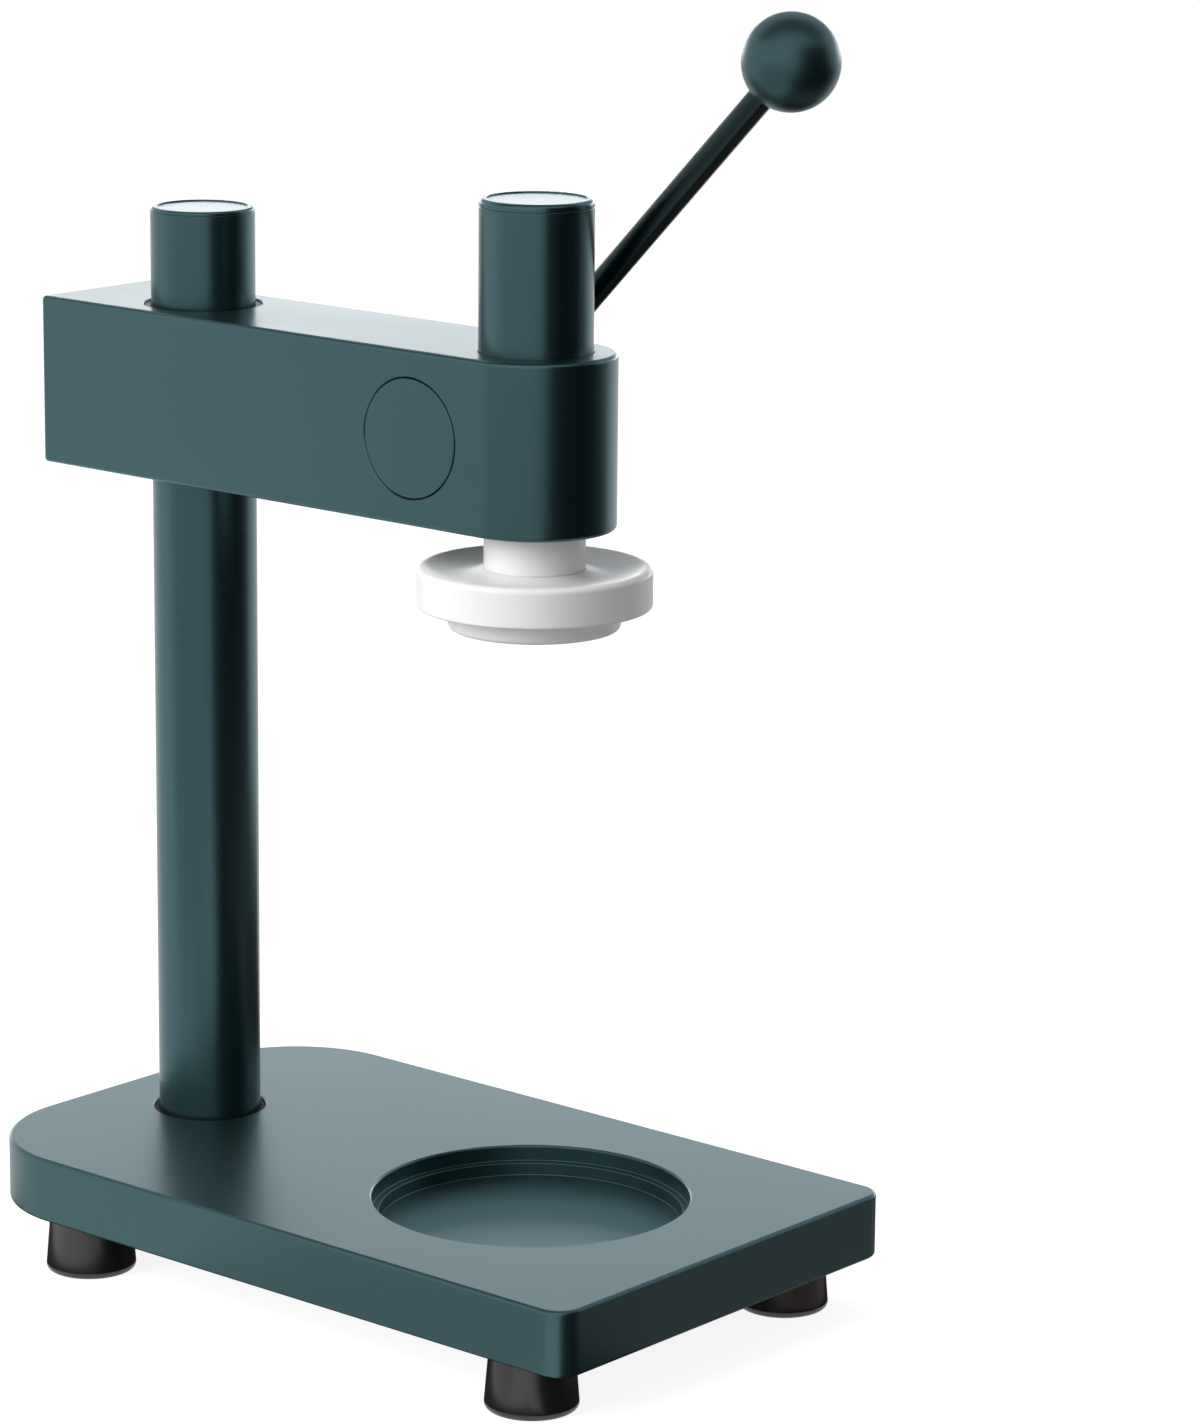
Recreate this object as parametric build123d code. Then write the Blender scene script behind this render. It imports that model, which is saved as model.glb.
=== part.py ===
from build123d import *
from math import acos, asin, cos, degrees, pi, radians, sin, sqrt, tan
import os

# Bench press with a hand lever, in millimetres.
# +X points from the post to the ram, +Z points up, and the lever is on the +Y side.
# The origin is the centre of the round seat's floor, on the ram's axis.

# Clearances
fixed_fit = 0.05        # radial room of a pressed, seated or threaded piece
running_fit = 0.06      # radial room of a piece that slides or turns
face_gap = 0.4          # room between faces that pass each other
line_gap = 0.2          # fine line that shows round a flush cover
tap_room = 1.0          # how much deeper a screw's hole is than the screw
socket_share = 0.6      # depth of a screw's socket as a share of its head's height
end_chamfer_share = 1 / 6   # chamfer at a pin's ends as a share of its radius

# Base plate
base_length = 250.0
base_width = 150.0
base_thickness = 20.0
base_rear_radius = 40.0
base_front_radius = 8.0
base_edge = 1.2
ram_to_front = 77.5     # from the ram's axis to the front edge

# Seat, a stepped round recess in the base
seat_rim_radius = 48.0
seat_ledge_width = 2.2
seat_ledge_depth = 5.0
seat_depth = 9.0
seat_edge = 0.6

# Feet
foot_height = 18.0
foot_low_radius = 14.0
foot_top_radius = 12.5
foot_edge = 1.6
foot_inset_front = 26.0
foot_inset_rear = 42.3
foot_inset_side = 17.0
foot_pocket_radius = 6.5
foot_pocket_depth = 8.5
foot_screw_radius = 2.5
foot_screw_reach = 12.0
foot_screw_head_radius = 4.6
foot_screw_head = 3.0
foot_screw_socket = 1.8
foot_washer_radius = 5.8
foot_washer_thickness = 1.2

# Post
post_inset = 37.0       # from the base's rear edge to the post's axis
post_radius = 16.0
post_above_arm = 29.9   # with its cap
post_socket_depth = 6.0
post_bore_radius = 11.0
post_foot_solid = 45.0  # the part of the post left solid for its bolt
post_flat_depth = 0.8
post_flat_start = 14.0
post_cap_thickness = 1.2
post_cap_edge = 0.9
post_cap_spigot = 7.0
cap_dish_depth = 0.35
cap_rim_width = 2.2
seat_ring_width = 1.6
seat_ring_depth = 2.0
seat_ring_sink = 0.5
post_bolt_radius = 4.0
post_bolt_reach = 30.0
post_bolt_head_radius = 7.5
post_bolt_head = 5.3
post_bolt_sink = 1.0    # from the base's underside up to the bolt's head
post_washer_radius = 10.0
post_washer_thickness = 1.6
post_counterbore_radius = 12.0

# Arm
arm_bottom = 204.7      # above the base's top
arm_height = 52.0
arm_width = 48.0
arm_behind_post = 46.6
arm_edge = 1.3

# Guide bushes of the arm on the post
post_bush_radius = 18.2
post_bush_length = 13.5
bush_sink = 0.5
post_bore_relief = 0.8

# Clamp of the arm, two set screws with soft pads on a flat of the post
clamp_screw_radius = 4.0
clamp_screw_length = 20.0
clamp_screw_socket = 2.3
clamp_screw_spacing = 15.0
clamp_pad_radius = 3.5
clamp_pad_length = 4.0

# Ram, its tube and its bushes
ram_radius = 15.0
ram_shown = 11.8        # what shows of the ram below the arm, at rest
ram_top_room = 4.5      # between the ram's top and the tube's top, at rest
ram_edge = 0.8
ram_spigot_radius = 9.0
ram_spigot_length = 5.0
tube_radius = 16.8
tube_wall = 1.45
tube_height = 42.4      # above the arm's top
tube_foot_depth = 5.0
tube_cap_thickness = 2.3
tube_cap_edge = 1.4
tube_cap_spigot = 3.0
ram_bush_radius = 18.0
ram_bush_low_length = 9.6
ram_bush_high_length = 6.0

# Rack and pinion
tooth_module = 1.5
pinion_teeth = 21
pressure_angle = 20.0
tooth_root_room = 0.25  # root clearance as a share of the module
backlash = 0.12
flank_steps = 3         # spans of the curve along a tooth's flank
pinion_axis_to_ram = 28.0
pinion_face = 9.4
pinion_boss_radius = 10.0
pinion_length = 16.0
rack_width = 10.0
rack_thickness = 6.4    # from the rack's back to the tooth tips
rack_teeth = 10
rack_low_teeth = 2      # whole teeth below the pinion's axis
rack_land_length = 9.4
rack_land_step = 2.4
rack_screw_radius = 1.5
rack_screw_length = 7.6
rack_screw_head_radius = 2.7
rack_screw_head = 1.8
rack_screw_socket = 1.1
pocket_room = 0.5       # radial room round the pinion's tips

# Pinion shaft and what it turns in
shaft_radius = 6.0
shaft_nose_radius = 5.0
shaft_near_end = 19.6
shaft_shoulder_radius = 7.6
cover_radius = 17.7
cover_thickness = 3.0
cover_edge = 0.4
near_bush_length = 11.6
far_bush_radius = 9.0
circlip_width = 1.2
circlip_outer = 8.4
circlip_groove = 0.6
circlip_gap_angle = 50.0
key_width = 4.0
key_height = 4.0
key_length = 12.0

# Lever
hub_radius = 19.0
hub_width = 11.6
hub_edge = 1.5
rod_radius = 4.0
rod_angle = 45.2        # above level, at rest
rod_offset = 10.8       # from the shaft's axis to the rod's line
rod_tail = 12.0
rod_end_edge = 0.5
ball_reach = 147.9      # along the rod, from abreast of the shaft's axis to the ball's centre
ball_radius = 14.25
ball_flat_radius = 5.4
ball_hole_past_centre = 4.0
rod_screw_radius = 2.0
rod_screw_socket = 1.15
hub_key_width = 3.0
hub_key_height = 3.0
hub_key_length = 9.0
hub_screw_radius = 2.5
hub_screw_reach = 14.0
hub_screw_head_radius = 4.8
hub_screw_head = 2.8
hub_screw_socket = 1.8
hub_washer_radius = 7.6
hub_washer_thickness = 1.4
lever_swing = 95.0
stop_pin_radius = 2.0
stop_pin_circle = 16.8
stop_pin_angle = -90.0
stop_pin_depth = 9.0
stop_pin_reach = 3.2
stop_slot_inner = 14.2
stop_slot_rest_room = 0.2   # degrees, so the lever just clears its stop at rest
stop_slot_end_room = 1.5

# Press disc
disc_radius = 34.8
disc_thickness = 11.5   # from the ram's seat on it to the flange's underside
disc_rim_rise = 0.5     # how far the rim stands above the ram's seat
disc_top_edge = 1.8
disc_low_edge = 0.8
disc_dish_depth = 2.2
disc_rim_width = 0.6
disc_boss_radius = 25.5
disc_boss_height = 6.6
disc_boss_edge = 1.5
disc_counterbore_radius = 9.0
disc_counterbore_depth = 6.2
disc_screw_radius = 3.0
disc_screw_reach = 16.0
disc_screw_head_radius = 5.0
disc_screw_head = 3.4
disc_screw_socket = 2.3
disc_washer_radius = 8.4
disc_washer_thickness = 1.6

# Return spring, an extension spring inside the ram
spring_to_ram = 3.0     # how far in front of the ram's axis it hangs
spring_bore_radius = 6.0
spring_coil_radius = 3.6
spring_wire_radius = 0.6
spring_turns = 11
spring_pitch = 3.8
spring_joint_radius = 0.72
spring_contact = 0.08
hanger_wire_radius = 0.9
hanger_eye_radius = 3.0
hanger_stem_radius = 2.5
hanger_drop = 1.6
spring_pin_radius = 1.5
spring_pin_end_room = 1.0

# Worked out from the sizes above
base_top = seat_depth
base_bottom = base_top - base_thickness
floor_level = base_bottom - foot_height
front_edge = ram_to_front
rear_edge = ram_to_front - base_length
arm_low = base_top + arm_bottom
arm_high = arm_low + arm_height
post_x = rear_edge + post_inset
post_bottom = base_top - post_socket_depth
post_top = arm_high + post_above_arm - post_cap_thickness
arm_rear = post_x - arm_behind_post
arm_side = arm_width / 2
pinion_x = -pinion_axis_to_ram
pinion_z = arm_low + arm_height / 2
pitch_radius = tooth_module * pinion_teeth / 2
tip_radius = pitch_radius + tooth_module
root_radius = pitch_radius - tooth_module * (1 + tooth_root_room)
tooth_pitch = pi * tooth_module
rack_pitch_x = pinion_x + pitch_radius
rack_tip_x = rack_pitch_x - tooth_module
rack_root_x = rack_pitch_x + tooth_module * (1 + tooth_root_room)
rack_back_x = rack_tip_x + rack_thickness
rack_land_x = rack_tip_x + rack_land_step
rack_teeth_low = pinion_z - (rack_low_teeth + 0.5) * tooth_pitch
rack_teeth_high = rack_teeth_low + rack_teeth * tooth_pitch
rack_low = rack_teeth_low - rack_land_length
rack_high = rack_teeth_high + rack_land_length
rack_screw_heights = [rack_low + rack_land_length / 2, rack_high - rack_land_length / 2]
pocket_radius = tip_radius + pocket_room
pocket_far = pinion_length / 2 + face_gap
cover_back = -arm_side + cover_thickness
near_bush_back = cover_back + near_bush_length
shoulder_far = pocket_far
hub_near = arm_side + face_gap
hub_far = hub_near + hub_width
rod_y_place = hub_near + hub_width / 2
tube_high = arm_high + tube_height
tube_low = arm_high - tube_foot_depth
ram_low = arm_low - ram_shown
ram_high = tube_high - ram_top_room
disc_high = ram_low
disc_low = disc_high - disc_thickness
disc_rim_high = disc_high + disc_rim_rise
boss_low = disc_low - disc_boss_height
hanger_low = tube_high - tube_cap_spigot
eye_z = hanger_low - hanger_drop - hanger_eye_radius
spring_high = (
    eye_z - hanger_eye_radius + hanger_wire_radius + spring_contact + spring_wire_radius - spring_coil_radius
)
spring_low = spring_high - spring_turns * spring_pitch
spring_pin_z = spring_low - spring_coil_radius + spring_wire_radius + spring_contact + spring_pin_radius
foot_places = {
    "foot_front_left": (front_edge - foot_inset_front, base_width / 2 - foot_inset_side),
    "foot_front_right": (front_edge - foot_inset_front, foot_inset_side - base_width / 2),
    "foot_rear_left": (rear_edge + foot_inset_rear, base_width / 2 - foot_inset_side),
    "foot_rear_right": (rear_edge + foot_inset_rear, foot_inset_side - base_width / 2),
}
clamp_heights = [pinion_z - clamp_screw_spacing / 2, pinion_z + clamp_screw_spacing / 2]
post_flat_x = post_x - post_radius + post_flat_depth
rod_way = (cos(radians(rod_angle)), sin(radians(rod_angle)))
rod_side = (-rod_way[1], rod_way[0])

FROM_LOW = (Align.CENTER, Align.CENTER, Align.MIN)


# Shapes that repeat
def bar_z(radius, low, high, x=0.0, y=0.0):
    """Round bar along Z."""
    return Pos(x, y, low) * Cylinder(radius, high - low, align=FROM_LOW)


def bar_y(radius, near, far, x, z):
    """Round bar along Y."""
    return Pos(x, near, z) * Rot(-90, 0, 0) * Cylinder(radius, far - near, align=FROM_LOW)


def bar_x(radius, rear, front, y, z):
    """Round bar along X."""
    return Pos(rear, y, z) * Rot(0, 90, 0) * Cylinder(radius, front - rear, align=FROM_LOW)


def block(low, high):
    """Box between two corners."""
    size = [b - a for a, b in zip(low, high)]
    return Pos(*low) * Box(*size, align=(Align.MIN, Align.MIN, Align.MIN))


def hex_hole(radius, depth):
    """Six-sided socket that goes up from z = 0."""
    return extrude(RegularPolygon(radius, 6), depth)


def ends(part, axis=Axis.Z):
    """Edges of the two outermost faces along an axis."""
    faces = part.faces().sort_by(axis)
    return faces[0].edges() + faces[-1].edges()


def lever_point(along, across, y):
    """A place given along and beside the rod, seen from the shaft's axis."""
    x = pinion_x + along * rod_way[0] + across * rod_side[0]
    z = pinion_z + along * rod_way[1] + across * rod_side[1]
    return (x, y, z)


# Base, post and feet
def make_base_plate():
    outline = Pos((front_edge + rear_edge) / 2, 0) * Rectangle(base_length, base_width)
    outline = fillet(outline.vertices().group_by(Axis.X)[0], base_rear_radius)
    outline = fillet(outline.vertices().group_by(Axis.X)[-1], base_front_radius)
    plate = Pos(0, 0, base_bottom) * extrude(outline, base_thickness)
    plate = fillet(ends(plate), base_edge)
    plate -= bar_z(seat_rim_radius, base_top - seat_ledge_depth, base_top)
    rim = plate.edges().filter_by(GeomType.CIRCLE).filter_by(
        lambda e: abs(e.radius - seat_rim_radius) < 1e-6 and abs(e.center().Z - base_top) < 1e-6
    )
    plate = chamfer(rim, seat_edge)
    plate -= bar_z(seat_rim_radius - seat_ledge_width, 0, base_top)
    ring_radius = post_radius + fixed_fit + seat_ring_width
    plate -= bar_z(post_radius + fixed_fit, post_bottom, base_top, post_x)
    plate -= bar_z(ring_radius, base_top - seat_ring_depth, base_top, post_x)
    plate -= bar_z(post_bolt_radius + fixed_fit, base_bottom, base_top, post_x)
    plate -= bar_z(post_counterbore_radius, base_bottom, post_web_low(), post_x)
    for x, y in foot_places.values():
        hole_high = base_bottom + foot_screw_reach + tap_room
        plate -= bar_z(foot_screw_radius + fixed_fit, base_bottom, hole_high, x, y)
    return plate


def post_web_low():
    """Underside of the web that the post's bolt pulls on."""
    return base_bottom + post_bolt_sink + post_bolt_head + post_washer_thickness


def make_post():
    post = bar_z(post_radius, post_bottom, post_top, post_x)
    post -= bar_z(post_bore_radius, post_bottom + post_foot_solid, post_top, post_x)
    hole_high = post_bottom + post_bolt_reach + 2 * tap_room
    post -= bar_z(post_bolt_radius + fixed_fit, post_bottom, hole_high, post_x)
    flat_low = base_top + post_flat_start
    post -= block(
        (post_x - 2 * post_radius, -post_radius, flat_low),
        (post_flat_x, post_radius, post_top),
    )
    return post


def make_post_seat_ring():
    low = base_top - seat_ring_depth
    high = base_top - seat_ring_sink
    ring = bar_z(post_radius + seat_ring_width, low, high, post_x)
    ring -= bar_z(post_radius + fixed_fit, low, high, post_x)
    return ring


def make_cap(radius, thickness, edge, spigot_radius, spigot_length, seam, x):
    """Lid with a rounded edge, a shallow dish in its top and a spigot below its seam."""
    cap = bar_z(radius, seam, seam + thickness, x)
    cap = fillet(cap.faces().sort_by(Axis.Z)[-1].edges(), edge)
    cap -= bar_z(radius - cap_rim_width, seam + thickness - cap_dish_depth, seam + thickness, x)
    cap += bar_z(spigot_radius, seam - spigot_length, seam, x)
    return cap


def make_post_cap():
    spigot = post_bore_radius - fixed_fit
    return make_cap(
        post_radius, post_cap_thickness, post_cap_edge, spigot, post_cap_spigot, post_top, post_x
    )


def make_post_bolt():
    head_low = post_web_low() - post_washer_thickness - post_bolt_head
    bolt = bar_z(post_bolt_radius, head_low, post_bottom + post_bolt_reach, post_x)
    bolt += Pos(post_x, 0, head_low) * hex_hole(post_bolt_head_radius, post_bolt_head)
    return bolt


def make_washer(radius, hole, low, thickness, x=0.0, y=0.0):
    washer = bar_z(radius, low, low + thickness, x, y)
    return washer - bar_z(hole, low, low + thickness, x, y)


def make_post_washer():
    low = post_web_low() - post_washer_thickness
    return make_washer(post_washer_radius, post_bolt_radius + fixed_fit, low, post_washer_thickness, post_x)


def make_foot(x, y):
    """Black cone with a rounded lower edge and a pocket for its screw."""
    foot = Pos(x, y, floor_level) * Cone(foot_low_radius, foot_top_radius, foot_height, align=FROM_LOW)
    foot = fillet(foot.faces().sort_by(Axis.Z)[0].edges(), foot_edge)
    foot -= bar_z(foot_pocket_radius, floor_level, floor_level + foot_pocket_depth, x, y)
    foot -= bar_z(foot_screw_radius + fixed_fit, floor_level, base_bottom, x, y)
    return foot


def make_foot_screw(x, y):
    head_high = floor_level + foot_pocket_depth - foot_washer_thickness
    head_low = head_high - foot_screw_head
    screw = bar_z(foot_screw_head_radius, head_low, head_high, x, y)
    screw += bar_z(foot_screw_radius, head_low, base_bottom + foot_screw_reach, x, y)
    return screw - Pos(x, y, head_low) * hex_hole(foot_screw_socket, foot_screw_head * socket_share)


def make_foot_washer(x, y):
    low = floor_level + foot_pocket_depth - foot_washer_thickness
    return make_washer(foot_washer_radius, foot_screw_radius + fixed_fit, low, foot_washer_thickness, x, y)


# Arm and what is fixed to it
def make_arm_body():
    length = -arm_rear
    outline = Pos(-length / 2, 0) * Rectangle(length, arm_width) + Circle(arm_side)
    arm = Pos(0, 0, arm_low) * extrude(outline, arm_height)
    rear_uprights = arm.edges().filter_by(Axis.Z).group_by(Axis.X)[0]
    arm = fillet(rear_uprights, arm_edge)
    arm = fillet(ends(arm), arm_edge)
    arm -= bar_z(post_radius + post_bore_relief, arm_low, arm_high, post_x)
    bush_room = post_bush_length + bush_sink
    arm -= bar_z(post_bush_radius + fixed_fit, arm_low, arm_low + bush_room, post_x)
    arm -= bar_z(post_bush_radius + fixed_fit, arm_high - bush_room, arm_high, post_x)
    arm -= bar_z(ram_bush_radius + fixed_fit, arm_low, tube_low)
    arm -= bar_z(tube_radius + fixed_fit, tube_low, arm_high)
    arm -= bar_y(pocket_radius, -arm_side, pocket_far, pinion_x, pinion_z)
    arm -= bar_y(cover_radius + line_gap, -arm_side, cover_back, pinion_x, pinion_z)
    arm -= bar_y(far_bush_radius + fixed_fit, pocket_far, arm_side, pinion_x, pinion_z)
    pin_x, pin_z = stop_pin_place()
    arm -= bar_y(stop_pin_radius + fixed_fit, arm_side - stop_pin_depth, arm_side, pin_x, pin_z)
    for z in clamp_heights:
        arm -= bar_x(clamp_screw_radius + fixed_fit, arm_rear, post_x, 0, z)
    return arm


def make_post_bush(low):
    bush = bar_z(post_bush_radius, low, low + post_bush_length, post_x)
    return bush - bar_z(post_radius + running_fit, low, low + post_bush_length, post_x)


def make_clamp_pad(z):
    return bar_x(clamp_pad_radius, post_flat_x - clamp_pad_length, post_flat_x, 0, z)


def make_clamp_screw(z):
    front = post_flat_x - clamp_pad_length
    rear = front - clamp_screw_length
    screw = bar_x(clamp_screw_radius, rear, front, 0, z)
    screw = chamfer(ends(screw, Axis.X), clamp_screw_radius * end_chamfer_share)
    return screw - Pos(rear, 0, z) * Rot(0, 90, 0) * hex_hole(clamp_screw_socket, clamp_screw_radius)


def make_ram_tube():
    tube = bar_z(tube_radius, tube_low, tube_high)
    return tube - bar_z(tube_radius - tube_wall, tube_low, tube_high)


def make_ram_tube_cap():
    spigot = tube_radius - tube_wall - fixed_fit
    cap = make_cap(tube_radius, tube_cap_thickness, tube_cap_edge, spigot, tube_cap_spigot, tube_high, 0)
    return cap - bar_z(hanger_stem_radius + fixed_fit, hanger_low, tube_high, spring_to_ram)


def make_ram_bush(low, length):
    bush = bar_z(ram_bush_radius, low, low + length)
    return bush - bar_z(ram_radius + running_fit, low, low + length)


def make_pinion_cover():
    cover = bar_y(cover_radius, -arm_side, cover_back, pinion_x, pinion_z)
    return fillet(cover.faces().sort_by(Axis.Y)[0].edges(), cover_edge)


def make_shaft_bush_near():
    """Round bearing plate that fills the mouth of the pinion's pocket, hollowed to let the ram pass."""
    plate = bar_y(pocket_radius - fixed_fit, cover_back, near_bush_back, pinion_x, pinion_z)
    plate -= bar_z(ram_bush_radius + fixed_fit, arm_low, arm_high)
    return plate - bar_y(shaft_radius + running_fit, cover_back, near_bush_back, pinion_x, pinion_z)


def make_shaft_bush_far():
    bush = bar_y(far_bush_radius, pocket_far, arm_side, pinion_x, pinion_z)
    return bush - bar_y(shaft_radius + running_fit, pocket_far, arm_side, pinion_x, pinion_z)


def stop_pin_place():
    turn = radians(stop_pin_angle)
    return (pinion_x + stop_pin_circle * cos(turn), pinion_z + stop_pin_circle * sin(turn))


def make_stop_pin():
    x, z = stop_pin_place()
    pin = bar_y(stop_pin_radius, arm_side - stop_pin_depth, arm_side + stop_pin_reach, x, z)
    return chamfer(ends(pin, Axis.Y), stop_pin_radius * end_chamfer_share)


def make_spring_hanger():
    """Eye on a stem that is screwed up into the tube's cap."""
    eye = Pos(spring_to_ram, 0, eye_z) * Rot(0, 90, 0) * Torus(hanger_eye_radius, hanger_wire_radius)
    stem = bar_z(hanger_stem_radius, hanger_low, tube_high - face_gap, spring_to_ram)
    neck_low = eye_z + hanger_eye_radius
    return eye + stem + bar_z(hanger_wire_radius, neck_low, hanger_low, spring_to_ram)


# Rack and pinion
def involute(angle):
    return tan(angle) - angle


def tooth_half_angle(radius):
    """Half the tooth's thickness as an angle at a radius, by the involute of the base circle."""
    base_radius = pitch_radius * cos(radians(pressure_angle))
    here = acos(min(1.0, base_radius / radius))
    return pi / (2 * pinion_teeth) + involute(radians(pressure_angle)) - involute(here)


def on_circle(radius, angle):
    return (radius * cos(angle), radius * sin(angle))


def pinion_outline():
    """Closed outline of the toothed wheel with a tooth space on its +X side."""
    base_radius = pitch_radius * cos(radians(pressure_angle))
    flank = tip_radius - base_radius
    steps = [base_radius + flank * k / flank_steps for k in range(flank_steps + 1)]
    tooth_turn = 2 * pi / pinion_teeth
    root_half = tooth_half_angle(base_radius)
    tip_half = tooth_half_angle(tip_radius)
    edges = []
    for tooth in range(pinion_teeth):
        centre = (tooth + 0.5) * tooth_turn
        rise = [on_circle(r, centre - tooth_half_angle(r)) for r in steps]
        fall = [on_circle(r, centre + tooth_half_angle(r)) for r in reversed(steps)]
        start = on_circle(root_radius, centre - root_half)
        end = on_circle(root_radius, centre + root_half)
        next_start = on_circle(root_radius, centre + tooth_turn - root_half)
        edges.append(Line(start, rise[0]))
        edges.append(Spline(*rise))
        edges.append(ThreePointArc(rise[-1], on_circle(tip_radius, centre), fall[0]))
        edges.append(Spline(*fall))
        edges.append(Line(fall[-1], end))
        space_middle = on_circle(root_radius, centre + tooth_turn / 2)
        edges.append(ThreePointArc(end, space_middle, next_start))
    return make_face(edges)


def make_pinion():
    """Involute pinion with a boss at each side, a bore and a keyway."""
    wheel = Pos(pinion_x, pinion_face / 2, pinion_z) * Rot(90, 0, 0) * extrude(pinion_outline(), pinion_face)
    half = pinion_length / 2
    pinion = wheel + bar_y(pinion_boss_radius, -half, half, pinion_x, pinion_z)
    pinion -= bar_y(shaft_radius + fixed_fit, -half, half, pinion_x, pinion_z)
    return pinion - key_block(fixed_fit, pinion_length)


def key_block(room, length):
    """The key's own block, or the keyway round it when it is given room."""
    half_width = key_width / 2 + room
    low = pinion_z - shaft_radius - key_height / 2 - room
    high = pinion_z - shaft_radius + key_height / 2 + room
    return block(
        (pinion_x - half_width, -length / 2, low),
        (pinion_x + half_width, length / 2, high),
    )


def make_pinion_key():
    return key_block(0.0, key_length)


def make_rack():
    """Straight rack with a plain land at each end for its screws."""
    half_pitch_width = (tooth_pitch / 2 - backlash) / 2
    flank = tan(radians(pressure_angle))
    tip_half = half_pitch_width - (rack_pitch_x - rack_tip_x) * flank
    foot_half = half_pitch_width + (rack_root_x - rack_pitch_x) * flank
    points = [(rack_back_x, rack_low), (rack_land_x, rack_low), (rack_land_x, rack_teeth_low)]
    points.append((rack_root_x, rack_teeth_low))
    for tooth in range(rack_teeth):
        centre = rack_teeth_low + (tooth + 0.5) * tooth_pitch
        points.append((rack_root_x, centre - foot_half))
        points.append((rack_tip_x, centre - tip_half))
        points.append((rack_tip_x, centre + tip_half))
        points.append((rack_root_x, centre + foot_half))
    points.append((rack_root_x, rack_teeth_high))
    points += [(rack_land_x, rack_teeth_high), (rack_land_x, rack_high), (rack_back_x, rack_high)]
    profile = make_face(Polyline(*points, close=True))
    rack = Pos(0, rack_width / 2, 0) * Rot(90, 0, 0) * extrude(profile, rack_width)
    for z in rack_screw_heights:
        rack -= bar_x(rack_screw_radius + fixed_fit, rack_land_x, rack_back_x, 0, z)
    return rack


def make_rack_screw(z):
    head = bar_x(rack_screw_head_radius, rack_land_x - rack_screw_head, rack_land_x, 0, z)
    screw = head + bar_x(rack_screw_radius, rack_land_x, rack_land_x + rack_screw_length, 0, z)
    socket = Pos(rack_land_x - rack_screw_head, 0, z) * Rot(0, 90, 0)
    return screw - socket * hex_hole(rack_screw_socket, rack_screw_head * socket_share)


def make_pinion_shaft():
    """Stepped shaft: plain near end, shoulder beside the pinion, thinner nose for the hub."""
    half = pinion_length / 2
    shaft = bar_y(shaft_radius, -shaft_near_end, arm_side, pinion_x, pinion_z)
    shaft += bar_y(shaft_shoulder_radius, half, shoulder_far, pinion_x, pinion_z)
    shaft += bar_y(shaft_nose_radius, arm_side, hub_far - face_gap, pinion_x, pinion_z)
    shaft -= circlip_space(0.0)
    shaft -= key_block(fixed_fit, key_length + 2 * fixed_fit)
    shaft -= hub_key_block(fixed_fit)
    tap_start = hub_far - face_gap - hub_screw_reach
    return shaft - bar_y(hub_screw_radius + fixed_fit, tap_start, hub_far, pinion_x, pinion_z)


def circlip_space(room):
    """Groove in the shaft just in front of the pinion."""
    far = -pinion_length / 2 - fixed_fit
    near = far - circlip_width
    groove = bar_y(circlip_outer, near, far, pinion_x, pinion_z)
    return groove - bar_y(shaft_radius - circlip_groove - room, near, far, pinion_x, pinion_z)


def make_shaft_circlip():
    far = -pinion_length / 2 - 2 * fixed_fit
    near = far - circlip_width + 2 * fixed_fit
    inner = shaft_radius - circlip_groove + fixed_fit
    clip = bar_y(circlip_outer, near, far, pinion_x, pinion_z)
    clip -= bar_y(inner, near, far, pinion_x, pinion_z)
    half_gap = circlip_outer * tan(radians(circlip_gap_angle / 2))
    mouth = Polyline((0, 0), (half_gap, circlip_outer), (-half_gap, circlip_outer), close=True)
    wedge = extrude(make_face(mouth), circlip_width)
    return clip - Pos(pinion_x, far, pinion_z) * Rot(90, 0, 0) * wedge


# Lever
def make_lever_hub():
    """Round hub that carries the rod beside the shaft, with a slot that runs on the stop pin."""
    hub = bar_y(hub_radius, hub_near, hub_far, pinion_x, pinion_z)
    hub = fillet(ends(hub, Axis.Y), hub_edge)
    hub -= bar_y(shaft_nose_radius + fixed_fit, hub_near, hub_far, pinion_x, pinion_z)
    hub -= hub_key_block(fixed_fit)
    hub -= rod_bar(rod_radius + fixed_fit, -hub_radius, hub_radius)
    hub -= rod_screw_bar(rod_screw_radius + fixed_fit, rod_offset, hub_radius)
    return hub - stop_slot()


def stop_slot():
    """Part of a ring cut from the hub's rim; the stop pin moves along it."""
    pin_half = degrees(asin(stop_pin_radius / stop_pin_circle))
    start = stop_pin_angle - pin_half - stop_slot_rest_room
    end = stop_pin_angle + lever_swing + pin_half + stop_slot_end_room
    sector = ring_sector(stop_slot_inner, hub_radius + face_gap, start, end)
    depth = stop_pin_reach + face_gap - (hub_near - arm_side)
    solid = extrude(sector, depth)
    return Pos(pinion_x, hub_near + depth, pinion_z) * Rot(90, 0, 0) * solid


def ring_sector(inner, outer, start, end):
    """Flat piece of a ring between two angles in degrees."""
    a, b = radians(start), radians(end)
    middle = (a + b) / 2
    edges = [
        Line(on_circle(inner, a), on_circle(outer, a)),
        ThreePointArc(on_circle(outer, a), on_circle(outer, middle), on_circle(outer, b)),
        Line(on_circle(outer, b), on_circle(inner, b)),
        ThreePointArc(on_circle(inner, b), on_circle(inner, middle), on_circle(inner, a)),
    ]
    return make_face(edges)


def lever_frame(along, across, y, way):
    """Location at a place on the lever with its Z axis along a direction in the XZ plane."""
    return Plane(origin=lever_point(along, across, y), z_dir=(way[0], 0, way[1])).location


def rod_bar(radius, start, end):
    """Round bar on the rod's line."""
    place = lever_frame(start, rod_offset, rod_y_place, rod_way)
    return place * Cylinder(radius, end - start, align=FROM_LOW)


def rod_screw_bar(radius, start, end):
    """Round bar that meets the rod at a right angle."""
    place = lever_frame(0, start, rod_y_place, rod_side)
    return place * Cylinder(radius, end - start, align=FROM_LOW)


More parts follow.
